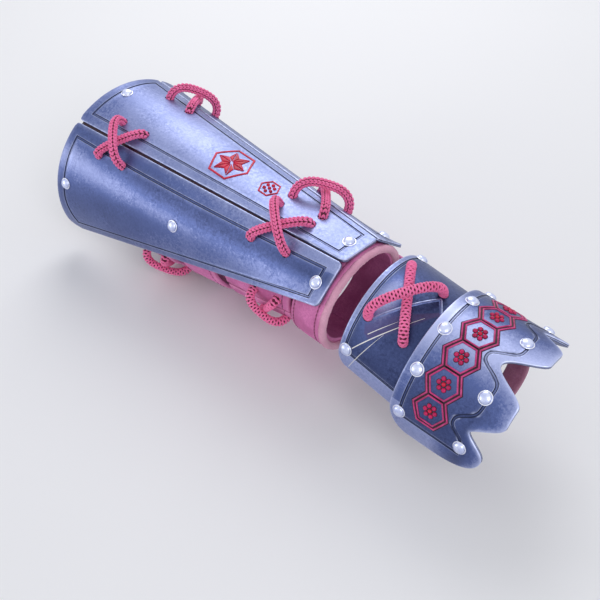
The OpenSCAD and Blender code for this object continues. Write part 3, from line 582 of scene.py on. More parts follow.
@dataclass
class Shading:
    """One material's node board."""

    name: str
    material: Material = None
    tree: bpy.types.NodeTree = None
    shader: bpy.types.Node = None

    def __post_init__(self) -> None:
        """Starts the material with its surface shader and its own coordinates."""
        self.material = bpy.data.materials.new(self.name)
        self.material.use_nodes = True
        self.tree = self.material.node_tree
        self.shader = self.tree.nodes["Principled BSDF"]
        self.coordinates = self.tree.nodes.new("ShaderNodeTexCoord").outputs["Object"]

    def node(self, kind: str, inputs: Optional[dict] = None, **settings: object) -> bpy.types.Node:
        """Adds a node.

        Args:
            kind: Its type.
            inputs: What its inputs get, by name or number.
            **settings: Its own settings.

        Returns:
            The node.
        """
        made = self.tree.nodes.new(kind)
        for key, value in settings.items():
            setattr(made, key, value)
        for key, value in (inputs or {}).items():
            self.give(made.inputs[key], value)
        return made

    def give(self, socket: Socket, value: Feed) -> None:
        """Links or sets one input.

        Args:
            socket: The input.
            value: An output to link, a number, a vector or a colour.
        """
        if isinstance(value, bpy.types.NodeSocket):
            self.tree.links.new(value, socket)
        elif socket.type == "RGBA" and len(value) == 3:
            socket.default_value = (*value, 1.0)
        else:
            socket.default_value = value

    def surface(self, **inputs: Feed) -> None:
        """Sets the surface shader's inputs, underscores standing for spaces."""
        for key, value in inputs.items():
            self.give(self.shader.inputs[key.replace("_", " ")], value)

    def stretched(self, scale: tuple) -> Socket:
        """Own coordinates, scaled."""
        return self.node("ShaderNodeMapping", {"Vector": self.coordinates, "Scale": scale}).outputs["Vector"]

    def noise(self, scale: float, detail: float = 4, rough: float = 0.55, vector: Feed = None) -> Socket:
        """Cloudy noise from 0 to 1."""
        inputs = {"Scale": scale, "Detail": detail, "Roughness": rough, "Vector": vector or self.coordinates}
        return self.node("ShaderNodeTexNoise", inputs).outputs["Fac"]

    def cells(self, scale: float) -> Socket:
        """Distance in a pattern of cells."""
        made = self.node("ShaderNodeTexVoronoi", {"Scale": scale, "Vector": self.coordinates})
        return made.outputs["Distance"]

    def levels(self, value: Feed, low: float, high: float, to_low: float = 0, to_high: float = 1) -> Socket:
        """Spreads a span of values over another, and keeps it there."""
        inputs = {0: value, 1: low, 2: high, 3: to_low, 4: to_high}
        return self.node("ShaderNodeMapRange", inputs, interpolation_type="SMOOTHSTEP").outputs[0]

    def math(self, work: str, a: Feed, b: Feed = 0.0) -> Socket:
        """One sum on two numbers."""
        return self.node("ShaderNodeMath", {0: a, 1: b}, operation=work).outputs[0]

    def plus(self, base: Feed, value: Feed, share: Feed, middle: float = 0.0) -> Socket:
        """Adds a share of a value, counted from its middle, to a base."""
        value = self.math("SUBTRACT", value, middle) if middle else value
        return self.math("ADD", base, self.math("MULTIPLY", value, share))

    def blend(self, share: Feed, a: Feed, b: Feed) -> Socket:
        """Mixes two colours.

        Args:
            share: How much of the second one shows.
            a: The first colour.
            b: The second colour.

        Returns:
            The mixed colour.
        """
        made = self.node("ShaderNodeMix", data_type="RGBA", blend_type="MIX")
        for number, value in ((0, share), (6, a), (7, b)):
            self.give(made.inputs[number], value)
        return made.outputs[2]

    def ramp(self, value: Feed, stops: Sequence[tuple]) -> Socket:
        """Colours along a value.

        Args:
            value: The value.
            stops: Pairs of place and colour.

        Returns:
            The colour.
        """
        made = self.node("ShaderNodeValToRGB", {0: value})
        slots = made.color_ramp.elements
        while len(slots) < len(stops):
            slots.new(1.0)
        for slot, (place, tone) in zip(slots, stops):
            slot.position, slot.color = place, (*tone, 1.0)
        return made.outputs["Color"]

    def value(self, name: str) -> Socket:
        """A value that the mesh carries."""
        return self.node("ShaderNodeAttribute", attribute_name=name).outputs["Fac"]

    def bump(self, height: Feed, distance: float) -> Socket:
        """Bends the shading by a height, with the distance in metres at full height."""
        made = self.node("ShaderNodeBump", {"Height": height, "Distance": distance, "Strength": 1.0})
        return made.outputs["Normal"]

    def vector(self, work: str, a: Feed, b: Feed) -> bpy.types.Node:
        """One sum on two vectors."""
        return self.node("ShaderNodeVectorMath", {0: a, 1: b}, operation=work)

    def tapering_line(self, start: Array, end: Array, normal: Array, half: float) -> Socket:
        """A tapering line on a curved sheet, in the plane through its ends and the sheet's normal.

        Args:
            start: The line's wide end, in mm.
            end: Its thin end.
            normal: The sheet's normal between them.
            half: Half the line's width in mm.

        Returns:
            A socket that is 1 on the line and 0 off it.
        """
        a, run = start * MM, (end - start) * MM
        offset = self.vector("SUBTRACT", self.coordinates, tuple(a)).outputs[0]
        along = self.vector("DOT_PRODUCT", offset, tuple(run / run.dot(run))).outputs["Value"]
        across = self.vector("DOT_PRODUCT", offset, tuple(unit(np.cross(run, normal)))).outputs["Value"]
        share = self.node("ShaderNodeClamp", {0: along}).outputs[0]
        beyond = self.math("ABSOLUTE", self.math("SUBTRACT", along, share))
        gap = self.plus(self.math("ABSOLUTE", across), beyond, 0.1)
        width = self.levels(share, 0.4, 1.0, half * MM, 0.3 * half * MM)
        return self.levels(self.math("DIVIDE", gap, width), 0.5, 1.3, 1.0, 0.0)


# Finishes


@dataclass(frozen=True)
class Finish:
    """What every finish does: it paints a node board of its own."""

    def make(self, name: str) -> Material:
        """Builds the material.

        Args:
            name: Its name.

        Returns:
            The new material.
        """
        board = Shading(name)
        self.paint(board)
        return board.material

    def paint(self, s: Shading) -> None:
        """Lays out the nodes on a board."""
        raise NotImplementedError


@dataclass(frozen=True)
class BlueSteel(Finish):
    """Satin periwinkle steel with a fine mottled grain, bright at its worn edges, carrying painted light,
    shade and highlights.
    """

    light: tuple = (0.42, 0.47, 0.76)
    middle: tuple = (0.085, 0.122, 0.32)
    dark: tuple = (0.014, 0.024, 0.09)
    bare: tuple = (0.62, 0.68, 0.95)
    wall: tuple = (0.006, 0.009, 0.035)
    marks: tuple = ()

    def paint(self, s: Shading) -> None:
        """Lays out the nodes; the mesh's shade value paints light and shade on the steel, its wear value bare
        worn edges and painted highlights, and its dark value painted shade.

        Args:
            s: The node board.
        """
        clouds = s.noise(42, 3, 0.5)
        mottles = s.noise(560, 6, 0.72)
        grain = s.noise(1300, 3, 0.6)
        brushed = s.noise(500, 2, 0.5, s.stretched((0.1, 1, 1)))
        patches = s.levels(s.noise(75, 4, 0.6), 0.42, 0.62, 0.25, 0.75)
        tone = s.plus(s.value("shade"), clouds, 0.22, 0.5)
        tone = s.plus(s.plus(tone, mottles, patches, 0.5), grain, 0.2, 0.5)
        ground = s.ramp(tone, ((0.08, self.dark), (0.5, self.middle), (1.0, self.light)))
        wear = s.math("MULTIPLY", s.value("wear"), s.levels(s.noise(300, 3), 0.3, 0.6, 0.5, 1.0))
        ground = s.blend(wear, ground, self.bare)
        # Painted shade in the channels, on the walls and on the inside
        ground = s.blend(s.value("dark"), ground, self.wall)
        for start, end, normal, half, share, colour in self.marks:
            line = s.math("MULTIPLY", s.tapering_line(start, end, normal, half), share)
            ground = s.blend(line, ground, colour)
        height = s.plus(s.plus(mottles, grain, 0.6), brushed, 0.4)
        rough = s.levels(mottles, 0.3, 0.7, 0.46, 0.36)
        s.surface(Base_Color=ground, Metallic=0.7, Roughness=rough, Coat_Weight=0.1, Coat_Roughness=0.3)
        s.surface(Normal=s.bump(height, 0.00003))


@dataclass(frozen=True)
class Leather(Finish):
    """Pebbled pink leather, darker between its pebbles, with rubbed edges and painted shade in its sewn
    grooves.
    """

    pale: tuple = (0.72, 0.2, 0.47)
    deep: tuple = (0.5, 0.11, 0.3)
    rubbed: tuple = (0.84, 0.34, 0.56)
    roughness: float = 0.62
    groove_shade: tuple = (0.12, 0.03, 0.07)

    def paint(self, s: Shading) -> None:
        """Lays out the nodes.

        Args:
            s: The node board.
        """
        pebbles = s.cells(900)
        ground = s.blend(s.levels(s.noise(60, 5, 0.6), 0.35, 0.65), self.deep, self.pale)
        ground = s.blend(s.levels(pebbles, 0.35, 0.75, 0.0, 0.45), ground, self.deep)
        ground = s.blend(s.math("MULTIPLY", s.value("wear"), 0.6), ground, self.rubbed)
        # The dark value paints shade into the sewn grooves and on the inside
        ground = s.blend(s.math("MULTIPLY", s.value("dark"), 0.8), ground, self.groove_shade)
        height = s.plus(s.levels(pebbles, 0.1, 0.6, 1.0, 0.0), s.noise(1600, 2), 0.4)
        s.surface(Base_Color=ground, Roughness=self.roughness, Normal=s.bump(height, 0.00009))


@dataclass(frozen=True)
class Yarn(Finish):
    """Pink cord yarn with a soft nap."""

    pale: tuple = (0.98, 0.21, 0.46)
    deep: tuple = (0.84, 0.14, 0.34)
    nap: tuple = (1.0, 0.75, 0.88)

    def paint(self, s: Shading) -> None:
        """Lays out the nodes.

        Args:
            s: The node board.
        """
        fibres = s.noise(2400, 3, 0.6)
        share = s.plus(s.math("MULTIPLY", fibres, 0.5), s.noise(160, 3), 0.5)
        ground = s.blend(s.levels(share, 0.35, 0.62), self.deep, self.pale)
        s.surface(Base_Color=ground, Roughness=0.7, Sheen_Weight=0.35, Sheen_Roughness=0.4)
        s.surface(Sheen_Tint=self.nap, Normal=s.bump(fibres, 0.00008))


@dataclass(frozen=True)
class BrightMetal(Finish):
    """Smooth bare metal, palest on its rims, where the wear value paints a highlight ring."""

    tone: tuple = (0.66, 0.71, 0.93)
    shade: tuple = (0.5, 0.56, 0.84)
    rim: tuple = (0.96, 0.97, 1.0)
    roughness: tuple = (0.28, 0.34)

    def paint(self, s: Shading) -> None:
        """Lays out the nodes.

        Args:
            s: The node board.
        """
        marks = s.noise(420, 3, 0.5)
        ground = s.blend(s.levels(marks, 0.35, 0.7), self.tone, self.shade)
        ground = s.blend(s.value("wear"), ground, self.rim)
        s.surface(Base_Color=ground, Metallic=0.85, Roughness=s.levels(marks, 0.3, 0.7, *self.roughness))


@dataclass(frozen=True)
class Enamel(Finish):
    """Glossy enamel with soft streaks in its colour."""

    pale: tuple = (0.72, 0.006, 0.055)
    deep: tuple = (0.4, 0.002, 0.03)

    def paint(self, s: Shading) -> None:
        """Lays out the nodes.

        Args:
            s: The node board.
        """
        ground = s.blend(s.levels(s.noise(220, 4, 0.6), 0.3, 0.7), self.deep, self.pale)
        s.surface(Base_Color=ground, Roughness=0.42, Specular_IOR_Level=0.3)
        s.surface(Coat_Weight=0.15, Coat_Roughness=0.2, Normal=s.bump(s.noise(1100, 3), 0.00003))


# Repeated pieces by Geometry Nodes


@dataclass
class Places:
    """Where copies stand: points in mm, turns in radians and stretches."""

    points: Array
    turns: Array
    stretch: Array

    @staticmethod
    def at(points: Array, frames: Array, stretch: Optional[Array] = None) -> "Places":
        """Places from points and axes.

        Args:
            points: The points.
            frames: The copies' own axes, as columns.
            stretch: Stretch along each axis, or none.

        Returns:
            The places.
        """
        points = np.asarray(points, float).reshape(-1, 3)
        stretch = np.ones_like(points) if stretch is None else stretch
        return Places(points, eulers(np.asarray(frames).reshape(-1, 3, 3)), stretch)

    @staticmethod
    def merged(parts: Sequence["Places"]) -> "Places":
        """All places of several."""
        keys = ("points", "turns", "stretch")
        return Places(*(np.concatenate([getattr(part, key) for part in parts]) for key in keys))


def stamp_tree() -> bpy.types.NodeTree:
    """A tree that puts a copy of one object on each point, turned and stretched by the point's values.

    Returns:
        The tree, with the inputs Geometry, Stamp, Finish and Size.
    """
    tree = bpy.data.node_groups.new("stamps", "GeometryNodeTree")
    inputs = (("Geometry", "Geometry"), ("Stamp", "Object"), ("Finish", "Material"), ("Size", "Float"))
    for name, kind in inputs:
        tree.interface.new_socket(name, in_out="INPUT", socket_type="NodeSocket" + kind)
    tree.interface.items_tree["Size"].default_value = 1.0
    tree.interface.new_socket("Geometry", in_out="OUTPUT", socket_type="NodeSocketGeometry")
    new, link = tree.nodes.new, tree.links.new
    entry, leave = new("NodeGroupInput"), new("NodeGroupOutput")
    stamp = new("GeometryNodeObjectInfo")
    link(entry.outputs["Stamp"], stamp.inputs["Object"])
    turn, stretch = new("GeometryNodeInputNamedAttribute"), new("GeometryNodeInputNamedAttribute")
    for node, name in ((turn, "turn"), (stretch, "stretch")):
        node.data_type = "FLOAT_VECTOR"
        node.inputs["Name"].default_value = name
    as_turn = new("FunctionNodeEulerToRotation")
    link(turn.outputs["Attribute"], as_turn.inputs[0])
    scaled = new("ShaderNodeVectorMath")
    scaled.operation = "SCALE"
    link(stretch.outputs["Attribute"], scaled.inputs[0])
    link(entry.outputs["Size"], scaled.inputs["Scale"])
    on_points = new("GeometryNodeInstanceOnPoints")
    link(entry.outputs["Geometry"], on_points.inputs["Points"])
    link(stamp.outputs["Geometry"], on_points.inputs["Instance"])
    link(as_turn.outputs[0], on_points.inputs["Rotation"])
    link(scaled.outputs[0], on_points.inputs["Scale"])
    real, dress = new("GeometryNodeRealizeInstances"), new("GeometryNodeSetMaterial")
    link(on_points.outputs["Instances"], real.inputs["Geometry"])
    link(real.outputs["Geometry"], dress.inputs["Geometry"])
    link(entry.outputs["Finish"], dress.inputs["Material"])
    link(dress.outputs["Geometry"], leave.inputs["Geometry"])
    return tree


@dataclass
class Stamper:
    """Makes pieces of many copies with one node tree."""

    tree: bpy.types.NodeTree = field(default_factory=stamp_tree)

    def make(self, name: str, stamp: Piece, places: Places, material: Material) -> Thing:
        """Copies a stamp to every place.

        Args:
            name: The new object's name.
            stamp: The piece to copy, in mm round its own origin.
            places: Where the copies go.
            material: Their material.

        Returns:
            One plain mesh object, with no modifier left on it.
        """
        source = stamp.object(name + "_stamp", material)
        mesh = bpy.data.meshes.new(name + "_places")
        mesh.from_pydata((places.points * MM).tolist(), [], [])
        for key, value in (("turn", places.turns), ("stretch", places.stretch)):
            layer = mesh.attributes.new(key, "FLOAT_VECTOR", "POINT")
            layer.data.foreach_set("vector", value.astype(np.float32).ravel())
        holder = bpy.data.objects.new(name + "_places", mesh)
        bpy.context.scene.collection.objects.link(holder)
        modifier = holder.modifiers.new("stamps", "NODES")
        modifier.node_group = self.tree
        names = {s.name: s.identifier for s in self.tree.interface.items_tree if s.in_out == "INPUT"}
        for key, value in (("Stamp", source), ("Finish", material), ("Size", 1.0)):
            modifier[names[key]] = value
        made_mesh = as_mesh(holder)
        made_mesh.name = name
        for key in ("turn", "stretch"):
            if key in made_mesh.attributes:
                made_mesh.attributes.remove(made_mesh.attributes[key])
        for spare in (holder, source):
            bpy.data.objects.remove(spare)
        made = bpy.data.objects.new(name, made_mesh)
        bpy.context.scene.collection.objects.link(made)
        return made


def as_mesh(source: Thing) -> bpy.types.Mesh:
    """A new mesh of an object with its modifiers applied."""
    return bpy.data.meshes.new_from_object(source.evaluated_get(bpy.context.evaluated_depsgraph_get()))


def drilled(target: Thing, tool: Piece) -> Thing:
    """Cuts a tool out of an object, and gives the new points the values of the nearest old ones.

    Args:
        target: The object to cut.
        tool: The cutting piece, in mm.

    Returns:
        The same object, with a new mesh.
    """
    old = target.data
    names = [a.name for a in old.attributes if a.name in ("wear", "dark", "shade")]
    kept = {}
    for name in names:
        kept[name] = np.zeros(len(old.vertices), np.float32)
        old.attributes[name].data.foreach_get("value", kept[name])
    tree = KDTree(len(old.vertices))
    for k, vertex in enumerate(old.vertices):
        tree.insert(vertex.co, k)
    tree.balance()
    cutter = tool.object("cutter", old.materials[0])
    modifier = target.modifiers.new("holes", "BOOLEAN")
    modifier.operation, modifier.solver, modifier.object = "DIFFERENCE", "EXACT", cutter
    mesh = as_mesh(target)
    target.modifiers.clear()
    target.data = mesh
    bpy.data.objects.remove(cutter)
    nearest = [tree.find(v.co)[1] for v in mesh.vertices]
    for name in names:
        if name in mesh.attributes:
            mesh.attributes.remove(mesh.attributes[name])
        mesh.attributes.new(name, "FLOAT", "POINT").data.foreach_set("value", kept[name][nearest])
    mesh.set_sharp_from_angle(angle=math.radians(40))
    return target


def hole_pegs(holes: Sequence[tuple], reach: float = 9.0, sides: int = 28) -> Piece:
    """Cutting pegs for lace holes.

    Args:
        holes: Point and normal of each hole.
        reach: How far a peg goes to either side.
        sides: Steps round it.

    Returns:
        The pegs as one piece.
    """
    parts = []
    angle = circle(sides)
    for point, normal in holes:
        frame = frame_on(normal, AHEAD)
        ring = LACE_HOLE_R * (np.outer(np.cos(angle), frame[:, 0]) + np.outer(np.sin(angle), frame[:, 1]))
        parts.append(tube(np.array([point - reach * normal + ring, point + reach * normal + ring])))
    return joined(parts)


# The gauntlet's own forms


@dataclass(frozen=True)
class ForearmForm:
    """The forearm plates' surface: an arc at the elbow, flat facets at the wrist."""

    length: float = 220.0
    front_x: float = 13.1
    thickness: float = 2.0
    elbow_r: float = 59.5
    elbow_drop: float = 16.0
    centre_angle: float = 33.5
    side_angle: float = 117.0
    top_half: float = 13.6
    top_z: float = 35.3
    low_half: float = 34.8
    low_z: float = 17.0
    seam: float = 1.9
    corner: float = 3.0
    low_corner: float = 13.0

    def point(self, side: Side, u: Array, s: Array) -> Array:
        """Points of a plate's outside.

        Args:
            side: The plate.
            u: Share of the way from the elbow edge to the wrist edge.
            s: Place across: -1 to 1 on the centre plate, 0 at the seam to 1 on a side plate.

        Returns:
            The points, in mm.
        """
        centre = side is Side.CENTRE
        angle = np.radians(self.centre_angle * s if centre else lerp(self.centre_angle, self.side_angle, s))
        y0, z0 = self.elbow_r * np.sin(angle), self.elbow_r * np.cos(angle) - self.elbow_drop
        y1 = self.top_half * s if centre else lerp(self.top_half, self.low_half, s)
        z1 = self.top_z + 0 * s if centre else lerp(self.top_z, self.low_z, s)
        flip = -1 if side is Side.NEAR else 1
        return stack(self.front_x - self.length * (1 - u), flip * lerp(y0, y1, u), lerp(z0, z1, u))

    def normal(self, side: Side, u: Array, s: Array) -> Array:
        """Outward normals, for the same values as point() takes.

        Args:
            side: The plate.
            u: Place along it.
            s: Place across it.

        Returns:
            The normals.
        """
        steps = ((0.001, 0), (0, 0.001))
        du, ds = (self.point(side, u + a, s + b) - self.point(side, u - a, s - b) for a, b in steps)
        return unit((-1 if side is Side.NEAR else 1) * np.cross(du, ds))

    def skin(self, side: Side, u: Array, s: Array, depth: float = 0.0) -> tuple:
        """Points at a depth below a plate's outside, and their normals."""
        normals = self.normal(side, u, s)
        return self.point(side, u, s) - depth * normals, normals

    def place(self, side: Side, d: float, s: float) -> tuple:
        """Point and normal at a distance from the elbow edge."""
        return self.skin(side, np.array(d / self.length), np.array(float(s)))

    def width(self, side: Side, u: Number) -> Number:
        """A plate's width across.

        Args:
            side: The plate.
            u: Place along it.

        Returns:
            The width in mm.
        """
        if side is Side.CENTRE:
            return 2 * lerp(self.elbow_r * math.radians(self.centre_angle), self.top_half, u)
        arc = self.elbow_r * math.radians(self.side_angle - self.centre_angle)
        flat = math.hypot(self.low_half - self.top_half, self.low_z - self.top_z)
        return lerp(arc, flat, u)

    def share(self, side: Side, u: Number, q: Array) -> Array:
        """The s value at a distance q in mm from a plate's first edge."""
        k = q / self.width(side, u)
        return 2 * k - 1 if side is Side.CENTRE else k


@dataclass(frozen=True)
class HandForm:
    """The hand guard's own axes and its two plates' surfaces."""

    origin: tuple = (52.1, 0.0, -10.0)
    turn: tuple = (16.5, 6.0, 6.0)
    rear_r: float = 38.7
    front_r: float = 39.4
    shift_y: float = 3.6
    shift_z: float = 1.9
    wrist_t: float = 1.8
    rear: float = 24.5
    front: float = 28.0
    half_angle: float = 78.0
    knuckle_r: float = 44.0
    knuckle_t: float = 2.0
    knuckle_rear: float = 16.0
    knuckle_half_angle: float = 89.0
    lobe_x: float = 75.3
    notch_angle: float = 49.4
    rivet_x: float = 22.5
    front_rivet_x: float = 59.0
    hexagon_x: float = 38.0

    def world(self, points: Array) -> Array:
        """Turns points from the hand's axes into the row frame."""
        return np.array(self.origin) + points @ turning(*self.turn).T

    def direction(self, vectors: Array) -> Array:
        """Turns directions from the hand's axes into the row frame."""
        return vectors @ turning(*self.turn).T

    def wrist_local(self, x: Array, t: Array, depth: Number = 0.0) -> Array:
        """Points of the wrist plate in the hand's axes.

        Args:
            x: Distance ahead of the hand's origin.
            t: Angle from the top, in degrees.
            depth: How far below the outside.

        Returns:
            The points.
        """
        share = (self.rivet_x - x) / (self.rivet_x + self.rear)
        r, a = lerp(self.front_r, self.rear_r, share) - depth, np.radians(t)
        return stack(x, r * np.sin(a) + self.shift_y * share, r * np.cos(a) + self.shift_z * share)

    def wrist(self, x: Array, t: Array, depth: float = 0.0) -> tuple:
        """Points and normals of the wrist plate in the row frame.

        Args:
            x: Distance ahead of the hand's origin.
            t: Angle from the top, in degrees.
            depth: How far below the outside.

        Returns:
            The points and the outward normals.
        """
        steps = ((0.01, 0), (0, 0.01))
        dx, dt = (self.wrist_local(x + a, t + b) - self.wrist_local(x - a, t - b) for a, b in steps)
        normals = self.direction(unit(np.cross(dx, dt)))
        return self.world(self.wrist_local(x, t)) - depth * normals, normals

    def knuckle(self, x: Array, t: Array) -> tuple:
        """Points and normals of the knuckle plate in the row frame.

        Args:
            x: Distance ahead of the hand's origin.
            t: Angle from the top, in degrees.

        Returns:
            The points and the outward normals.
        """
        a = np.radians(t)
        out = stack(0 * a + 0 * x, np.sin(a) + 0 * x, np.cos(a) + 0 * x)
        return self.world(out * self.knuckle_r + stack(x + 0 * a, 0, 0)), self.direction(out)

    def notch(self, t: Array, at: float, half: float, power: float) -> Array:
        """Share of a notch's depth, for a notch at an angle from the top on both sides."""
        return 1 - np.sin(np.radians(90 * np.minimum(1, np.abs(np.abs(t) - at) / half))) ** power

    def front_edge(self, t: Array) -> Array:
        """The wavy front edge: middle and outer lobes, cut by three notches.

        Args:
            t: Angle from the top, in degrees.

        Returns:
            Its distance ahead of the hand's origin.
        """
        low_lobe = 64
        outer = np.clip((np.abs(t) - self.notch_angle) / (low_lobe - self.notch_angle), 0, 1)
        lobe = self.lobe_x - 3.8 * outer - 28 * oval_inset(np.abs(t) - low_lobe, 25)
        return lobe - 19.2 * self.notch(t, 0, 19.5, 2) - 15 * self.notch(t, self.notch_angle, 16, 1.4)

    def rear_edge(self, t: Array) -> Array:
        """The knuckle plate's rear edge, with its oval corners."""
        return self.knuckle_rear + 15 * oval_inset(np.abs(t) - 62, 27)

    def wavy_line(self, t: Array) -> Array:
        """The engraved line that follows the wavy edge.

        Args:
            t: Angle from the top, in degrees.

        Returns:
            Its distance ahead of the hand's origin.
        """
        away = np.abs(t)
        line = 61 - 0.045 * np.maximum(0, away - 17) - 13.5 * np.exp(-((away / 9) ** 2.6))
        return line - 9.0 * np.exp(-((np.abs(away - 48) / 8.5) ** 2.6))


@dataclass(frozen=True)
class CordLine:
    """A cord's centre line with its own axes, from hole to hole."""

    points: Array
    ahead: Array
    up: Array
    aside: Array
    reach: Array
    flat: Array

    @staticmethod
    def arch(a: tuple, b: tuple, rise: float, sink: tuple, flat: float = 1.0) -> "CordLine":
        """An arch between two holes.

        Args:
            a: Point and normal of the first hole.
            b: Point and normal of the second hole.
            rise: Height of the arch above the line between the holes.
            sink: How far the cord goes on below each hole.
            flat: Share of its thickness that the cord keeps in the middle.

        Returns:
            The line, in steps of about 0.35 mm.
        """
        up = unit(a[1] + b[1])
        t = np.linspace(0, math.pi, 121)
        across = np.sign(np.cos(t)) * np.abs(np.cos(t)) ** 0.78
        height = rise * np.sign(np.sin(t)) * np.abs(np.sin(t)) ** 0.78
        bow = a[0] + (b[0] - a[0]) * (1 - across)[:, None] / 2 + up * height[:, None]
        below_a = np.array([a[0] - a[1] * h for h in np.linspace(sink[0], 0.3, 6)])
        below_b = np.array([b[0] - b[1] * h for h in np.linspace(0.3, sink[1], 6)])
        path = smoothed(np.concatenate([below_a, bow, below_b]), 6)
        squeeze = np.concatenate([np.ones(6), lerp(1, flat, np.sin(t) ** 4), np.ones(6)])
        length = np.concatenate([[0], np.cumsum(np.linalg.norm(np.diff(path, axis=0), axis=1))])
        reach = np.linspace(0, length[-1], max(40, int(length[-1] / 0.35)))
        points = np.stack([np.interp(reach, length, path[:, k]) for k in range(3)], axis=1)
        ahead = unit(np.gradient(points, axis=0))
        lift = unit(np.cross(unit(np.cross(b[0] - a[0], up)), ahead))
        aside = unit(np.cross(ahead, lift))
        return CordLine(points, ahead, lift, aside, reach, np.interp(reach, length, squeeze))

    def at(self, where: Array) -> tuple:
        """Looks the line up at some lengths along it.

        Args:
            where: The lengths in mm.

        Returns:
            Points, the directions ahead, up and aside, and flatness.
        """
        found = []
        for values in (self.points, self.ahead, self.up, self.aside):
            found.append(np.stack([np.interp(where, self.reach, values[:, k]) for k in range(3)], axis=1))
        return found[0], *(unit(v) for v in found[1:]), np.interp(where, self.reach, self.flat)

    def core(self, radius: float, sides: int = 12) -> Piece:
        """A plain tube along the line.

        Args:
            radius: The tube's radius.
            sides: Steps round it.

        Returns:
            The tube.
        """
        angle = circle(sides)
        ring = np.cos(angle)[None, :, None] * self.flat[:, None, None] * self.up[:, None, :]
        ring = ring + np.sin(angle)[None, :, None] * self.aside[:, None, :]
        return tube(self.points[:, None, :] + radius * ring)

    def knit(self, radius: float, columns: int = 10, pitch: float = 2.2, lean: float = 21.0) -> Places:
        """Places of the half stitches of a knitted cord: pairs of columns of leaves that lean in turn.

        Args:
            radius: Distance of the leaves from the centre line.
            columns: Number of half columns round the cord.
            pitch: Step between stitches along it.
            lean: Lean of a leaf in degrees.

        Returns:
            The places.
        """
        offset = 0.19
        rows = np.arange(pitch / 2, self.reach[-1] - pitch / 2, pitch)
        points, frames = [], []
        for column in range(columns):
            pair, way = column // 2, (1 if column % 2 else -1)
            angle = 4 * math.pi / columns * (pair + way * offset)
            centre, ahead, up, aside, flat = self.at(rows + (pitch / 2 if pair % 2 else 0.0))
            out = math.cos(angle) * flat[:, None] * up + math.sin(angle) * aside
            normal = unit(math.cos(angle) / flat[:, None] * up + math.sin(angle) * aside)
            tilt = math.radians(way * lean)
            points.append(centre + radius * out)
            frames.append(frame_on(normal, math.cos(tilt) * ahead + math.sin(tilt) * np.cross(normal, ahead)))
        return Places.at(np.concatenate(points), np.concatenate(frames))

    def ribs(self, pitch: float = 1.62) -> Places:
        """Places of the ribs of a wrapped cord, every other one turned by half a wave.

        Args:
            pitch: Step between ribs.

        Returns:
            The places.
        """
        where = np.arange(pitch / 2, self.reach[-1], pitch)
        centre, ahead, up, aside, flat = self.at(where)
        turn = np.where(np.arange(len(where)) % 2, math.pi / RIB_WAVES, 0.0)[:, None]
        first = np.cos(turn) * up + np.sin(turn) * aside
        frames = np.stack([ahead, first, np.cross(ahead, first)], axis=-1)
        stretch = np.ones((len(where), 3))
        stretch[:, 1:] = ((1 + flat) / 2)[:, None]
        return Places.at(centre, frames, stretch)


# Stamps, each round its own origin and in mm


def leaf_stamp(half: float = 1.36, wide: float = 0.6, high: float = 0.62) -> Piece:
    """Half a knitted stitch: a small leaf along X.

    Args:
        half: Half its length.
        wide: Half its width.
        high: Half its height.

    Returns:
        The leaf.
    """
    along = np.linspace(-1, 1, 7)[:, None]
    angle = circle(7)
    girth = np.sqrt(np.maximum(0.04, 1 - along**2)) ** 0.8
    droop = -0.28 * along**2
    y, z = wide * girth * np.cos(angle), high * girth * np.sin(angle) + droop
    return tube(stack(half * along + 0 * angle, y, z))


def stitch_stamp(length: float = 2.0, thick: float = 0.26) -> Piece:
    """One stitch of thread along X, its ends sunk in the leather.

    Args:
        length: Its length.
        thick: The thread's radius.

    Returns:
        The stitch.
    """
    along = np.linspace(-1, 1, 7)[:, None]
    angle = circle(6)
    girth = thick * np.sqrt(np.maximum(0.15, 1 - along**4))
    height = 0.14 - 0.26 * along**2
    return tube(stack(length / 2 * along + 0 * angle, girth * np.cos(angle), girth * np.sin(angle) + height))


def rib_stamp(radius: float, thick: float = 0.68, wave: float = 0.27) -> Piece:
    """One rib of a wrapped cord: a ring about X that waves as it goes round.

    Args:
        radius: The ring's radius.
        thick: The rib's own radius.
        wave: Height of its waves.

    Returns:
        The rib.
    """
    turn, section = circle(6 * RIB_WAVES)[:, None], circle(7)
    r = radius + thick * 0.8 * np.cos(section)
    x = wave * np.cos(RIB_WAVES * turn) + thick * np.sin(section)
    return wrapped_grid(stack(x, r * np.cos(turn), r * np.sin(turn)), True, True).outward()


def rivet_stamp(grip: float, head_r: float = 3.8, head_h: float = 2.3) -> Piece:
    """A rivet about Z: dome with a thin flange, shank and peened tail.

    Args:
        grip: Thickness that the shank goes through.
        head_r: The flange's radius.
        head_h: The dome's height.

    Returns:
        The rivet, with a painted highlight ring on its flange.
    """
    dome_r, foot, shank_r, tail = head_r - 0.5, 0.55, 1.6, grip + 1.3
    base = [(head_r, 0.02), (head_r, 0.3), (head_r - 0.12, 0.42), (head_r - 0.42, 0.44), (dome_r, foot)]
    rise = np.linspace(0.12, math.pi / 2, 12)[:-1]
    dome = [(dome_r * math.cos(a), foot + (head_h - foot) * math.sin(a)) for a in rise]
    end = -tail - 0.6
    shank = [(shank_r, end), (2.15, -tail - 0.45), (2.2, -tail - 0.06), (shank_r, -tail), (shank_r, 0.02)]
    piece = lathe([(0, end), *shank, *base, *dome, (0, head_h)], 48)
    reach = np.linalg.norm(piece.points[:, :2], axis=1)
    # A painted highlight ring on the flange, carried in the wear value
    piece.values = {"wear": 0.6 * ((reach > dome_r + 0.02) & (piece.points[:, 2] > 0))}
    return piece


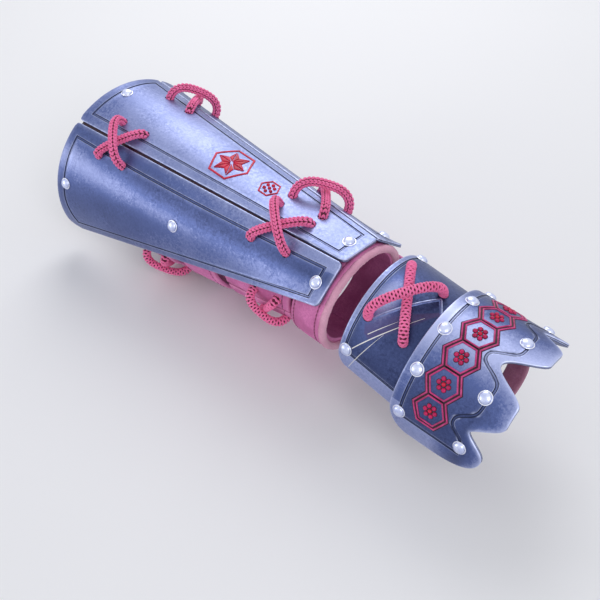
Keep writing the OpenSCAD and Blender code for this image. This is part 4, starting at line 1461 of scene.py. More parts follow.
def bead_stamp(radius: float) -> Piece:
    """A small enamel bead on a low rim.

    Args:
        radius: Its radius.

    Returns:
        The bead, standing on its origin.
    """
    rise = np.linspace(0, math.pi / 2, 6)[:-1]
    dome = [(radius * math.cos(a), 0.1 + radius * 0.85 * math.sin(a)) for a in rise]
    return lathe([(0, -0.15), (radius * 0.95, -0.15), *dome, (0, 0.1 + radius * 0.85)], 14)


def bed_stamp(radius: float) -> Piece:
    """A thin dark disc under a bead: painted shadow round it."""
    return lathe([(0, -0.1), (radius, -0.1), (radius, 0.03), (radius - 0.1, 0.06), (0, 0.06)], 16)


@dataclass
class Workshop:
    """Finishes and tools that every sub-assembly uses."""

    stamper: Stamper
    steel: Material
    steel_wrist: Material
    leather: Material
    lining: Material
    piping: Material
    yarn: Material
    yarn_core: Material
    thread: Material
    bright: Material
    dull: Material
    red: Material
    crimson: Material
    magenta: Material
    shadow_line: Material
    washer: Material

    def done(self, piece: Thing, body: str, slot: str, *nodes: str, bend: Optional[tuple] = None) -> Thing:
        """Tells the frame about a finished piece, and logs it.

        Args:
            piece: The object.
            body: The body that it rides on, or that it bends from.
            slot: The record's material slot; not used.
            *nodes: CAD nodes that it stands for.
            bend: For a piece that bends, the body it bends to and the points where it starts and ends.

        Returns:
            The same object.
        """
        if bend is None:
            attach(piece, body)
        else:
            start, end = (tuple(np.array(p) * MM) for p in bend[1:])
            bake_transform(piece, body, bend[0], start=start, end=end)
        if nodes:
            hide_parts(*nodes)
        LOG.info("%s: on %s, for %s, %d points", piece.name, body, nodes or "none", len(piece.data.vertices))
        return piece

    def rivets(self, name: str, places: Sequence[tuple], grip: float, body: str, *nodes: str) -> None:
        """Domed rivets.

        Args:
            name: The piece's name.
            places: Point and normal of each.
            grip: Thickness that they go through.
            body: The body that they ride on.
            *nodes: CAD nodes that they stand for.
        """
        points = np.array([p for p, _ in places])
        frames = np.array([frame_on(n, np.array([1.0, 0.2, 0])) for _, n in places])
        made = self.stamper.make(name, rivet_stamp(grip), Places.at(points, frames), self.bright)
        self.done(made, body, "silver_rivet", *nodes)

    def x_lace(
        self, name: str, holes: Sequence[tuple], rises: tuple, grips: tuple, weave: Weave, flat: float = 1.0
    ) -> list:
        """An X lace through four holes, with stop knots below them.

        Args:
            name: Name of its outside.
            holes: Point and normal of two holes on one side, then of two on the other.
            rises: Heights of the leg from the first hole and of the leg from the second.
            grips: Thickness below the holes on each side.
            weave: How the cord's outside is made.
            flat: Share of its thickness that a leg keeps in the middle.

        Returns:
            The outside, the core and the knots.
        """
        radius, past = 2.8, 1.0
        sinks = (grips[0] + past, grips[1] + past)
        legs = [
            CordLine.arch(holes[0], holes[3], rises[0], sinks, flat),
            CordLine.arch(holes[1], holes[2], rises[1], sinks, flat),
        ]
        # The core is near black: painted shade in the gaps between the leaves and ribs
        core = joined([leg.core(radius - 0.85) for leg in legs]).object(name + "_core", self.yarn_core)
        if weave is Weave.KNITTED:
            spots, stamp = [leg.knit(radius - 0.5) for leg in legs], leaf_stamp()
        else:
            spots, stamp = [leg.ribs() for leg in legs], rib_stamp(radius - 0.54)
        outside = self.stamper.make(name, stamp, Places.merged(spots), self.yarn)
        ends = [(point - normal * grips[k // 2], normal) for k, (point, normal) in enumerate(holes)]
        return [outside, core, self.knots(name + "_knots", ends)]

    def knots(self, name: str, ends: Sequence[tuple]) -> Thing:
        """Stop knots below the holes: three crossed turns of cord at each end.

        Args:
            name: The piece's name.
            ends: Point and normal of each end.

        Returns:
            The knots.
        """
        points, frames = [], []
        for point, normal in ends:
            base = frame_on(normal, np.array([1.0, 0.1, 0]))
            for k in range(3):
                spin, tip = Matrix.Rotation(math.pi * k / 3, 3, "Z"), Matrix.Rotation(0.9, 3, "Y")
                points.append(point - normal * 1.5)
                frames.append(base @ np.array(spin) @ np.array(tip))
        places = Places.at(np.array(points), np.array(frames))
        places.stretch[:] = (0.8, 1.1, 1.1)
        return self.stamper.make(name, rib_stamp(2.2, 1.0, 0.0), places, self.yarn)

    def sew(self, name: str, points: Array, normals: Array, sink: float = 0.0) -> None:
        """Thread stitches along a line on the leather.

        Args:
            name: The piece's name.
            points: Points of the line.
            normals: The leather's normals there.
            sink: How far below the line they lie.
        """
        frames = frame_on(normals, unit(np.gradient(points, axis=0)))
        places = Places.at(points - sink * normals, frames)
        made = self.stamper.make(name, stitch_stamp(), places, self.thread)
        self.done(made, "forearm", "pink_leather")


@dataclass
class ForearmPlates:
    """The three laced plates, their rivets, enamel and seam laces."""

    shop: Workshop
    form: ForearmForm = ForearmForm()
    relief: Relief = STEEL_RELIEF
    end_lines: tuple = (7.2, 212.3)
    centre_lines: tuple = ((-0.76, -0.65), (0.76, 0.65))
    side_lines: tuple = ((0.11, 0.26), (0.89, 0.86))
    elbow_lace_d: tuple = (31.0, 52.0)
    elbow_lace_rises: tuple = (11.3, 5.4)
    wrist_lace_d: tuple = (161.0, 186.0)
    wrist_lace_rises: tuple = (12.6, 6.6)
    elbow_rivet_d: float = 11.0
    wrist_rivet_d: float = 211.0
    wrist_rivet_grip: float = 5.0
    side_rivets: tuple = ((9.0, 0.5), (105.0, 0.52), (212.0, 0.56))
    side_rivet_lift: float = 0.1
    star_d: float = 114.0
    star_r: float = 14.5
    badge_d: float = 147.0
    badge_r: float = 7.0
    lining_t: float = 1.6
    lining_gap: float = 0.2
    lining_half: float = 0.82
    lining_end: float = 192.5

    @property
    def lining_grip(self) -> float:
        """Thickness of the centre plate with its lining."""
        return self.form.thickness + self.lining_gap + self.lining_t

    def marks(self, side: Side, u: Number) -> list:
        """Distances of a plate's outline and engraved lines from its first edge.

        Args:
            side: The plate.
            u: Place along it.

        Returns:
            The first edge, both lines and the last edge.
        """
        centre, seam = side is Side.CENTRE, self.form.seam / 2
        width = self.form.width(side, u)
        share = [lerp(a, b, u) for a, b in (self.centre_lines if centre else self.side_lines)]
        inner = [(s + 1) / 2 * width if centre else s * width for s in share]
        return [seam + 0 * u, inner[0], inner[1], width - (seam if centre else 0)]

    def plate(self, side: Side, name: str, body: str) -> None:
        """One plate with its engraved border, worn edges, painted light and shade, and lace holes.

        Args:
            side: Which plate.
            name: Its CAD node.
            body: The body that it rides on.
        """
        form, centre = self.form, side is Side.CENTRE
        fences = (False, True, True, False)
        cols = Ruling(fences, [float(m) for m in self.marks(side, np.array(0.35))], self.relief, 2.2)
        at_elbow = cols.values(self.marks(side, np.array(0.0)))
        at_wrist = cols.values(self.marks(side, np.array(1.0)))
        low = form.corner if centre else form.low_corner
        elbow_width, wrist_width = float(form.width(side, 0.0)), float(form.width(side, 1.0))
        first = corner_inset(at_elbow - at_elbow[0], form.corner) + corner_inset(elbow_width - at_elbow, low)
        last = form.length - corner_inset(at_wrist - at_wrist[0], form.corner)
        last = last - corner_inset(wrist_width - at_wrist, form.corner)
        share = form.share(side, 0.0, at_elbow)
        bend = 0 * share if centre else 4.2 * np.clip((share - 0.62) / 0.27, 0, 1) ** 1.5
        rear_line = np.maximum(self.end_lines[0] + bend, first + 2.6)
        rows = Ruling(fences, (0, *self.end_lines, form.length), self.relief, 3.0)
        along = rows.values([first, rear_line, np.minimum(self.end_lines[1], last - 2.6), last])
        u = along / form.length
        own = np.arange(len(cols.stations))
        q = np.array([cols.values(self.marks(side, row))[own, own] for row in u])
        edges = self.marks(side, u)
        from_line = np.min([along - rear_line, self.end_lines[1] - along, q - edges[1], edges[2] - q], axis=0)
        rim = np.min([along - first, last - along, q - edges[0], edges[3] - q], axis=0)
        s = form.share(side, u, q)
        shade = self.centre_shade(u, s) if centre else self.side_shade(u, s, from_line)
        rim, skin = np.maximum(rim, 0), partial(form.skin, side)
        piece = relief_sheet(skin, u, s, from_line, rim, self.relief, form.thickness, STEEL_WALL, shade)
        made = drilled(piece.object(name, self.shop.steel), hole_pegs(self.own_holes(side)))
        self.shop.done(made, body, "blue_steel", name)

    def centre_shade(self, u: Array, s: Array) -> Array:
        """Painted light and shade on the centre plate: palest along its middle, darker at the elbow."""
        return 0.74 - 0.22 * np.exp(-u / 0.09) - 0.08 * s**2

    def side_shade(self, u: Array, s: Array, from_line: Array) -> Array:
        """Painted light and shade on a side plate: a painted highlight band slants down from the elbow, with
        painted shade above it.

        Args:
            u: Place along the plate.
            s: Place across it.
            from_line: Distance inside the engraved border.

        Returns:
            The shade, from 0 to 1.
        """
        band = 0.3 * hump(s - 0.42 * u, 0.26, 0.1) * np.clip(1 - u / 0.75, 0, 1)
        deep = 0.22 * hump(s - 0.36 * u, 0.1, 0.13) * np.clip(u / 0.4, 0.15, 1)
        low = 0.12 * hump(s, 0.62, 0.16) * hump(u, 0.22, 0.2)
        border = np.where((from_line < 0) & (s < 0.3), 0.3 * u - 0.06, 0.0)
        foot = 0.16 * np.clip((s - 0.4) / 0.5, 0, 1) * np.clip((u - 0.1) / 0.6, 0, 1)
        return 0.46 + band - deep - low + 0.05 * u + foot + border

    def holes(self, side: Side, ds: tuple, s_centre: float, s_side: float) -> list:
        """A seam lace's holes: two on the centre plate, then two on a side plate."""
        centre = [self.form.place(Side.CENTRE, d, side.value * s_centre) for d in ds]
        return centre + [self.form.place(side, d, s_side) for d in ds]

    def elbow_holes(self, side: Side) -> list:
        """Holes of a seam's elbow lace."""
        return self.holes(side, self.elbow_lace_d, 0.6, 0.17)

    def wrist_holes(self, side: Side) -> list:
        """Holes of a seam's wrist lace."""
        return self.holes(side, self.wrist_lace_d, 0.27, 0.28)

    def own_holes(self, side: Side) -> list:
        """All lace holes on one plate.

        Args:
            side: The plate.

        Returns:
            Point and normal of each.
        """
        if side is Side.CENTRE:
            sides, ends = (Side.NEAR, Side.FAR), (self.elbow_holes, self.wrist_holes)
            return [hole for s in sides for holes in ends for hole in holes(s)[:2]]
        return self.elbow_holes(side)[2:] + self.wrist_holes(side)[2:]

    def seam_lace(self, name: str, body: str, holes: list, rises: tuple) -> None:
        """One X lace across a seam, which bends as the side plate opens.

        Args:
            name: Its CAD node.
            body: The side plate's body.
            holes: Its holes, as holes() gives them.
            rises: Heights of its legs.
        """
        pieces = self.shop.x_lace(name, holes, rises, (self.lining_grip, self.form.thickness), Weave.KNITTED)
        start, end = ((holes[k][0] + holes[k + 1][0]) / 2 for k in (0, 2))
        for piece, nodes in zip(pieces, ((name,), (), ())):
            self.shop.done(piece, "forearm", "seam_cord", *nodes, bend=(body, start, end))

    def on_centre(self, d: float, flat: Array, height: Number) -> Array:
        """Lays flat shapes, drawn round a point of the centre plate, on it.

        Args:
            d: Distance of the point from the elbow edge.
            flat: The shapes' points, ahead and across.
            height: Height above the plate.

        Returns:
            The points on the plate.
        """
        point, normal = self.form.place(Side.CENTRE, d, 0.0)
        frame = frame_on(normal, AHEAD)
        spread = point + flat[..., :1] * frame[:, 0] + flat[..., 1:2] * frame[:, 1]
        u = (spread[..., 0] - self.form.front_x) / self.form.length + 1
        s = flat[..., 1] / (self.form.width(Side.CENTRE, u) / 2)
        return self.form.point(Side.CENTRE, u, s) + height * self.form.normal(Side.CENTRE, u, s)

    def emblem(self) -> None:
        """The hemp-leaf star in its hexagon line, and the small flower hexagon."""
        star = []
        for k in range(6):
            spin = turning(0, 0, 60 * k)[:2, :2].T
            for way in (1, -1):
                leaf = np.array([[0.9, 0.22 * way], [5.4, 3.05 * way], [10.9, 0.22 * way]])
                star.append(self.raised_leaf(self.star_d, leaf @ spin, 0.5))
        apothem = math.cos(math.pi / 6)
        lines = [
            self.hexagon_line(self.star_d, self.star_r * apothem, 1.3),
            self.hexagon_line(self.badge_d, self.badge_r * apothem, 1.0),
        ]
        for name, node, parts in (("star", "star", star), ("hexagons", "badge", lines)):
            made = joined(parts).object("centre_" + name, self.shop.red)
            self.shop.done(made, "forearm", "red_enamel", "centre_" + node)
        flower = np.concatenate([np.zeros((1, 2)), hexagon(3.15, 30)])
        points = self.on_centre(self.badge_d, flower, 0.0)
        axes = frame_on(self.form.place(Side.CENTRE, self.badge_d, 0.0)[1], AHEAD)
        places = Places.at(points, np.repeat(axes[None], len(flower), axis=0))
        beads = self.shop.stamper.make("centre_beads", bead_stamp(1.1), places, self.shop.red)
        self.shop.done(beads, "forearm", "red_enamel")

    def hexagon_line(self, d: float, apothem: float, wide: float) -> Piece:
        """A raised hexagon line with soft edges.

        Args:
            d: Distance of its middle from the elbow edge.
            apothem: From its middle to a side.
            wide: The line's width.

        Returns:
            The closed line.
        """
        edge = ((0, -0.05), (0.08, 0.36), (0.22, 0.45))
        section = (*edge, *((wide - inset, height) for inset, height in reversed(edge)))
        angle = np.radians(np.arange(0, 360, 10))
        loops = []
        for inset, height in section:
            radius = (apothem - inset) / np.cos((angle % (math.pi / 3)) - math.pi / 6)
            flat = np.stack([radius * np.cos(angle), radius * np.sin(angle)], axis=1)
            loops.append(self.on_centre(d, flat, height))
        return wrapped_grid(np.array(loops), True, True).outward()

    def raised_leaf(self, d: float, shape: Array, height: float) -> Piece:
        """A small faceted leaf that stands on the plate.

        Args:
            d: Distance of the star's middle from the elbow edge.
            shape: The leaf's three corners.
            height: Its height at the edge of its top.

        Returns:
            The closed leaf.
        """
        middle, dense = shape.mean(axis=0), dense_round(shape, 6)
        rings = [(1.0, -0.08), (0.97, height * 0.7), (0.8, height)]
        loops = [self.on_centre(d, lerp(middle, dense, share), at) for share, at in rings]
        piece = wrapped_grid(np.array(loops), False, True)
        n = len(dense)
        piece.points = np.concatenate([piece.points, self.on_centre(d, middle[None], height * 1.15)])
        piece.faces += [(2 * n + k, 2 * n + (k + 1) % n, 3 * n) for k in range(n)]
        piece.faces.append(tuple(reversed(range(n))))
        return piece.outward()

    def lining(self) -> None:
        """The leather under the centre plate."""
        form, half = self.form, self.lining_half
        u = lerp(0.02, self.lining_end / form.length, np.linspace(0, 1, 60))[:, None]
        s = np.linspace(-half, half, 41)[None, :] + 0 * u
        u = u + 0 * s
        rim = np.min([
            (half - np.abs(s)) * form.width(Side.CENTRE, u) / 2,
            (u - u.min()) * form.length,
            (u.max() - u) * form.length,
        ], axis=0)
        below = partial(form.skin, Side.CENTRE, depth=form.thickness + self.lining_gap)
        no_line = np.full(u.shape, NO_LINE)
        piece = relief_sheet(below, u, s, no_line, rim, CENTRE_LINING_RELIEF, self.lining_t, LEATHER_WALL)
        holes = self.own_holes(Side.CENTRE)
        made = drilled(piece.object("centre_lining", self.shop.lining), hole_pegs(holes))
        self.shop.done(made, "forearm", "pink_lining", "centre_lining")

    def seam_strip(self, side: Side, name: str) -> None:
        """A dark strip under a seam, held to the centre plate's edge: painted shadow seen through the seam's
        gap.

        Args:
            side: The side plate at the seam.
            name: The piece's name.
        """
        form, half, depth, thick = self.form, 3.4, 2.05, 0.9
        u = np.linspace(0.012, 0.975, 60)
        centre_width, side_width = form.width(Side.CENTRE, u), form.width(side, u)
        top, bottom = [], []
        for q in (-half, -1.2, 0.0, 1.2, half):
            on_centre = side.value * (1 - 2 * max(0.0, -q) / centre_width)
            n_centre = form.normal(Side.CENTRE, u, on_centre)
            n_side = form.normal(side, u, max(0.0, q) / side_width)
            normal = unit(n_centre + n_side) if q == 0 else n_centre if q < 0 else n_side
            normal = normal / np.sum(normal * (n_centre if q <= 0 else n_side), axis=-1, keepdims=True)
            point = form.point(Side.CENTRE, u, on_centre) if q <= 0 else form.point(side, u, q / side_width)
            top.append(point - depth * normal)
            bottom.append(point - (depth + thick) * normal)
        values = dict.fromkeys(("wear", "dark"), np.zeros((len(u), len(top))))
        piece = sheet(np.stack(top, axis=1), np.stack(bottom, axis=1), STRIP_WALL, values)
        self.shop.done(piece.object(name, self.shop.shadow_line), "forearm", "pink_lining")

    def build(self) -> None:
        """Makes every piece of the three plates."""
        form, shop = self.form, self.shop
        for side, body in ((Side.CENTRE, "forearm"), (Side.NEAR, "near_side"), (Side.FAR, "far_side")):
            self.plate(side, side.name.lower() + "_plate", body)
        elbow = [form.place(Side.CENTRE, self.elbow_rivet_d, 0)]
        shop.rivets("centre_rivet_elbow", elbow, self.lining_grip, "forearm", "centre_plate_rivets")
        wrist = [form.place(Side.CENTRE, self.wrist_rivet_d, 0)]
        shop.rivets("centre_rivet_wrist", wrist, self.wrist_rivet_grip, "forearm")
        for side, body in ((Side.NEAR, "near_side"), (Side.FAR, "far_side")):
            word = side.name.lower()
            places = [form.place(side, d, s) for d, s in self.side_rivets]
            lifted = [(point + normal * self.side_rivet_lift, normal) for point, normal in places]
            shop.rivets(word + "_rivets", lifted, form.thickness, body, word + "_plate_rivets")
            self.seam_lace(word + "_elbow_lace", body, self.elbow_holes(side), self.elbow_lace_rises)
            self.seam_lace(word + "_wrist_lace", body, self.wrist_holes(side), self.wrist_lace_rises)
            self.seam_strip(side, word + "_seam_strip")
        self.emblem()
        self.lining()


@dataclass
class LeatherSleeve:
    """The leather bands, the padded wrist cuff with its piping, and the bands' laces."""

    shop: Workshop
    form: ForearmForm = ForearmForm()
    rear_d: float = 62.0
    front_d: float = 190.0
    rear_r: float = 45.8
    front_r: float = 32.6
    rear_drop: float = 8.8
    front_drop: float = 0.3
    band_t: float = 2.4
    band_r: float = 36.0
    band_gap: float = 3.0
    elbow_span: tuple = (62.0, 88.0)
    elbow_gap_at: float = 135.0
    elbow_holes_d: tuple = (66.5, 83.5)
    middle_span: tuple = (104.0, 133.0)
    fore_start: float = 143.5
    fore_gap_at: float = 108.0
    fore_holes_d: tuple = (168.5, 186.0)
    hole_angle: float = 16.0
    lace_rises: tuple = (8.7, 4.6)
    lace_flat: float = 0.7
    cuff_r: float = 34.2
    cuff_drop: float = 1.0
    bore_r: float = 28.0
    cuff_rear: float = -11.605
    cuff_front: float = 11.395
    cuff_gap: float = 3.5
    front_sewing: float = 3.6
    rear_sewing: float = 2.7
    pitch: float = 6.0
    yaw: float = 4.0
    stitch_step: float = 2.9
    piping_ring_r: float = 31.9
    piping_r: float = 2.3

    def cone(self, d: Array, angle: Array) -> tuple:
        """Points and normals of the leaning sleeve.

        Args:
            d: Distance from the elbow edge.
            angle: Degrees from the top towards the near side.

        Returns:
            The points and the outward normals.
        """
        share = (d - self.rear_d) / (self.front_d - self.rear_d)
        lean = math.atan((self.rear_drop - self.front_drop) / (self.front_d - self.rear_d))
        a = np.radians(angle)
        out = stack(-math.sin(lean) * np.cos(a), -np.sin(a), math.cos(lean) * np.cos(a))
        drop = lerp(self.rear_drop, self.front_drop, share)
        centre = stack(d + self.form.front_x - self.form.length, 0 * d, -drop)
        return centre + lerp(self.rear_r, self.front_r, share)[..., None] * out, out

    def fore_edge(self, angle: Array) -> Array:
        """The fore band's front edge, parallel to the cuff's rear end.

        Args:
            angle: Degrees from the top towards the near side.

        Returns:
            Its distance from the elbow edge.
        """
        normal = turning(0, self.pitch, self.yaw) @ AHEAD
        at = np.array([self.cuff_rear - self.cuff_gap, 0, -self.cuff_drop])
        low, high = np.full(np.shape(angle), 150.0), np.full(np.shape(angle), 230.0)
        f_low, f_high = ((self.cone(d, angle)[0] - at) @ normal for d in (low, high))
        return low - f_low * (high - low) / (f_high - f_low)

    def band(
        self, name: str, start: float, end: Callable, gap_at: float, gap: float, line_at: float, holes: list
    ) -> None:
        """One leather band, open at a gap, with a sewn line near its front edge.

        Args:
            name: Its CAD node.
            start: Distance of its rear edge from the elbow edge.
            end: Gives the front edge's distance for an angle.
            gap_at: Angle of the gap.
            gap: The gap's width in mm.
            line_at: Distance of the sewn line from the front edge.
            holes: Places of lace holes.
        """
        relief = BAND_RELIEF
        half = math.degrees(gap / 2 / self.rear_r)
        angle = np.linspace(gap_at + half, gap_at + 360 - half, 181)
        last = end(angle)
        line = last - line_at
        mean = float(last.mean())
        rows = Ruling((False, True, False), (start, mean - line_at, mean), relief, 1.6)
        first = np.full(len(angle), start)
        d = rows.values([first, line, last])
        ring = angle[None, :] + 0 * d
        arc = np.radians(np.minimum(ring - ring[0, 0], ring[0, -1] - ring)) * self.band_r
        rim = np.min([d - first, last - d, arc], axis=0)
        wave = 0.12 * np.sin(np.radians(ring) * 7 + d * 0.21) * np.sin(d * 0.35 + np.radians(ring) * 3)
        depth = relief.channel(d - line) + relief.edge(rim) + wave * np.clip(rim / 3, 0, 1) + 0.12
        points, normals = self.cone(d, ring)
        # The dark value paints shade into the sewn groove
        values = {"wear": np.exp(-rim / 0.9), "dark": (np.abs(d - line) < 0.24).astype(float)}
        top, bottom = points - depth[..., None] * normals, points - self.band_t * normals
        made = sheet(top, bottom, LEATHER_WALL, values).object(name, self.shop.leather)
        if holes:
            made = drilled(made, hole_pegs(holes))
        self.shop.done(made, "forearm", "pink_leather", name)
        stitched = np.linspace(angle[3], angle[-4], int(2 * math.pi * 34 / self.stitch_step))
        points, normals = self.cone(np.interp(stitched, angle, line), stitched)
        self.shop.sew(name + "_stitches", points, normals, 0.22)

    def band_holes(self, ds: tuple, gap_at: float) -> list:
        """Lace holes on both sides of a band's gap."""
        spots = [(d, gap_at + way * self.hole_angle) for way in (-1, 1) for d in ds]
        return [self.cone(np.array(d), np.array(a)) for d, a in spots]

    def band_lace(self, name: str, holes: list) -> None:
        """The wrapped X lace that closes a band.

        Args:
            name: The piece's name and its CAD node.
            holes: The four lace holes.
        """
        grips = (self.band_t, self.band_t)
        pieces = self.shop.x_lace(name, holes, self.lace_rises, grips, Weave.RIBBED, self.lace_flat)
        for piece, nodes in zip(pieces, ((name,), (), ())):
            self.shop.done(piece, "forearm", "seam_cord", *nodes)

    def end_x(self, x: float, y: Array, z: Array) -> Array:
        """Where a slanted end plane through x lies at some height and side."""
        normal = turning(0, self.pitch, self.yaw) @ AHEAD
        return x - (normal[1] * y + normal[2] * (z + self.cuff_drop)) / normal[0]

    def cuff(self) -> None:
        """The padded cuff: a thick ring with slanted ends and two sewn lines."""
        angle = np.radians(np.linspace(180.4, 539.6, 193))[None, :]
        share = np.linspace(0, 1, 45)[:, None]
        y, z = -self.cuff_r * np.sin(angle), self.cuff_r * np.cos(angle) - self.cuff_drop
        rear, front = self.end_x(self.cuff_rear, y, z), self.end_x(self.cuff_front, y, z)
        x = lerp(rear, front, share)
        back, ahead = x - rear, front - x
        groove = hump(ahead, self.front_sewing, 0.45) + 0.8 * hump(back, self.rear_sewing, 0.45)
        crown = 0.35 * np.cos(np.pi * (share - 0.5)) - 0.35
        fold = 0.1 * np.sin(angle * 9 + x * 0.5) * np.sin(x * 0.9 + angle * 4)
        roll = corner_inset(np.minimum(back, ahead), 1.7)
        radius = self.cuff_r + crown - 0.42 * groove - roll + fold * 0.6 - 0.1
        top = stack(x, -radius * np.sin(angle), radius * np.cos(angle) - self.cuff_drop)
        y, z = -self.bore_r * np.sin(angle) + 0 * x, self.bore_r * np.cos(angle) + 0 * x
        bottom = stack(lerp(self.end_x(self.cuff_rear, y, z), self.end_x(self.cuff_front, y, z), share), y, z)
        wear = 0.7 * np.exp(-np.minimum(back, ahead) / 1.2)
        # The dark value paints shade into the two sewn grooves
        values = {"wear": wear + 0 * x, "dark": np.clip(groove * 1.3 - 0.5, 0, 1)}
        made = sheet(top, bottom, CUFF_WALL, values).object("wrist_cuff", self.shop.leather)
        self.shop.done(made, "forearm", "pink_leather", "wrist_cuff")

    def cuff_sewing(self) -> None:
        """The stitches in the cuff's two sewn lines."""
        a = np.radians(np.linspace(182, 538, int(2 * math.pi * self.cuff_r / self.stitch_step)))
        r = self.cuff_r - 0.45
        y, z = -r * np.sin(a), r * np.cos(a) - self.cuff_drop
        normals = stack(0 * a, -np.sin(a), np.cos(a))
        front = self.end_x(self.cuff_front, y, z) - self.front_sewing
        rear = self.end_x(self.cuff_rear, y, z) + self.rear_sewing
        self.shop.sew("cuff_stitches_front", stack(front, y, z), normals)
        self.shop.sew("cuff_stitches_rear", stack(rear, y, z), normals)

    def rim_piping(self) -> None:
        """The rolled leather round the cuff's front rim, gathered by its seam."""
        angle, around = circle(220)[:, None], circle(18)[None, :]
        fine, coarse = np.sin(angle * 75 + 1.5 * np.sin(around)), np.sin(angle * 23 + 1 + around)
        thick = self.piping_r * (1 + 0.05 * fine + 0.035 * coarse)
        r = self.piping_ring_r + thick * np.cos(around)
        local = stack(0.8 + thick * np.sin(around), r * np.sin(angle), r * np.cos(angle))
        points = np.array([self.cuff_front, 0, -self.cuff_drop]) + local @ turning(0, self.pitch, self.yaw).T
        piece = wrapped_grid(points, True, True).outward()
        # Paler on the roll's front half
        wear = np.ravel(0.5 + 0.5 * np.sin(around) + 0 * angle)
        piece.values = {"wear": wear, "dark": 0 * wear}
        made = piece.object("cuff_piping", self.shop.piping)
        self.shop.done(made, "forearm", "piping_leather", "cuff_piping")

    def build(self) -> None:
        """Makes every leather piece of the forearm."""
        elbow_holes = self.band_holes(self.elbow_holes_d, self.elbow_gap_at)
        fore_holes = self.band_holes(self.fore_holes_d, self.fore_gap_at)
        gap = self.band_gap
        for name, span, at, wide, holes in (
            ("elbow_band", self.elbow_span, self.elbow_gap_at, gap, elbow_holes),
            ("middle_band", self.middle_span, 180.0, 0.3, []),
        ):
            self.band(name, span[0], partial(np.full_like, fill_value=span[1]), at, wide, 3.0, holes)
        self.band("fore_band", self.fore_start, self.fore_edge, self.fore_gap_at, gap, 4.5, fore_holes)
        self.band_lace("elbow_band_lace", elbow_holes)
        self.band_lace("fore_band_lace", fore_holes)
        self.cuff()
        self.cuff_sewing()
        self.rim_piping()


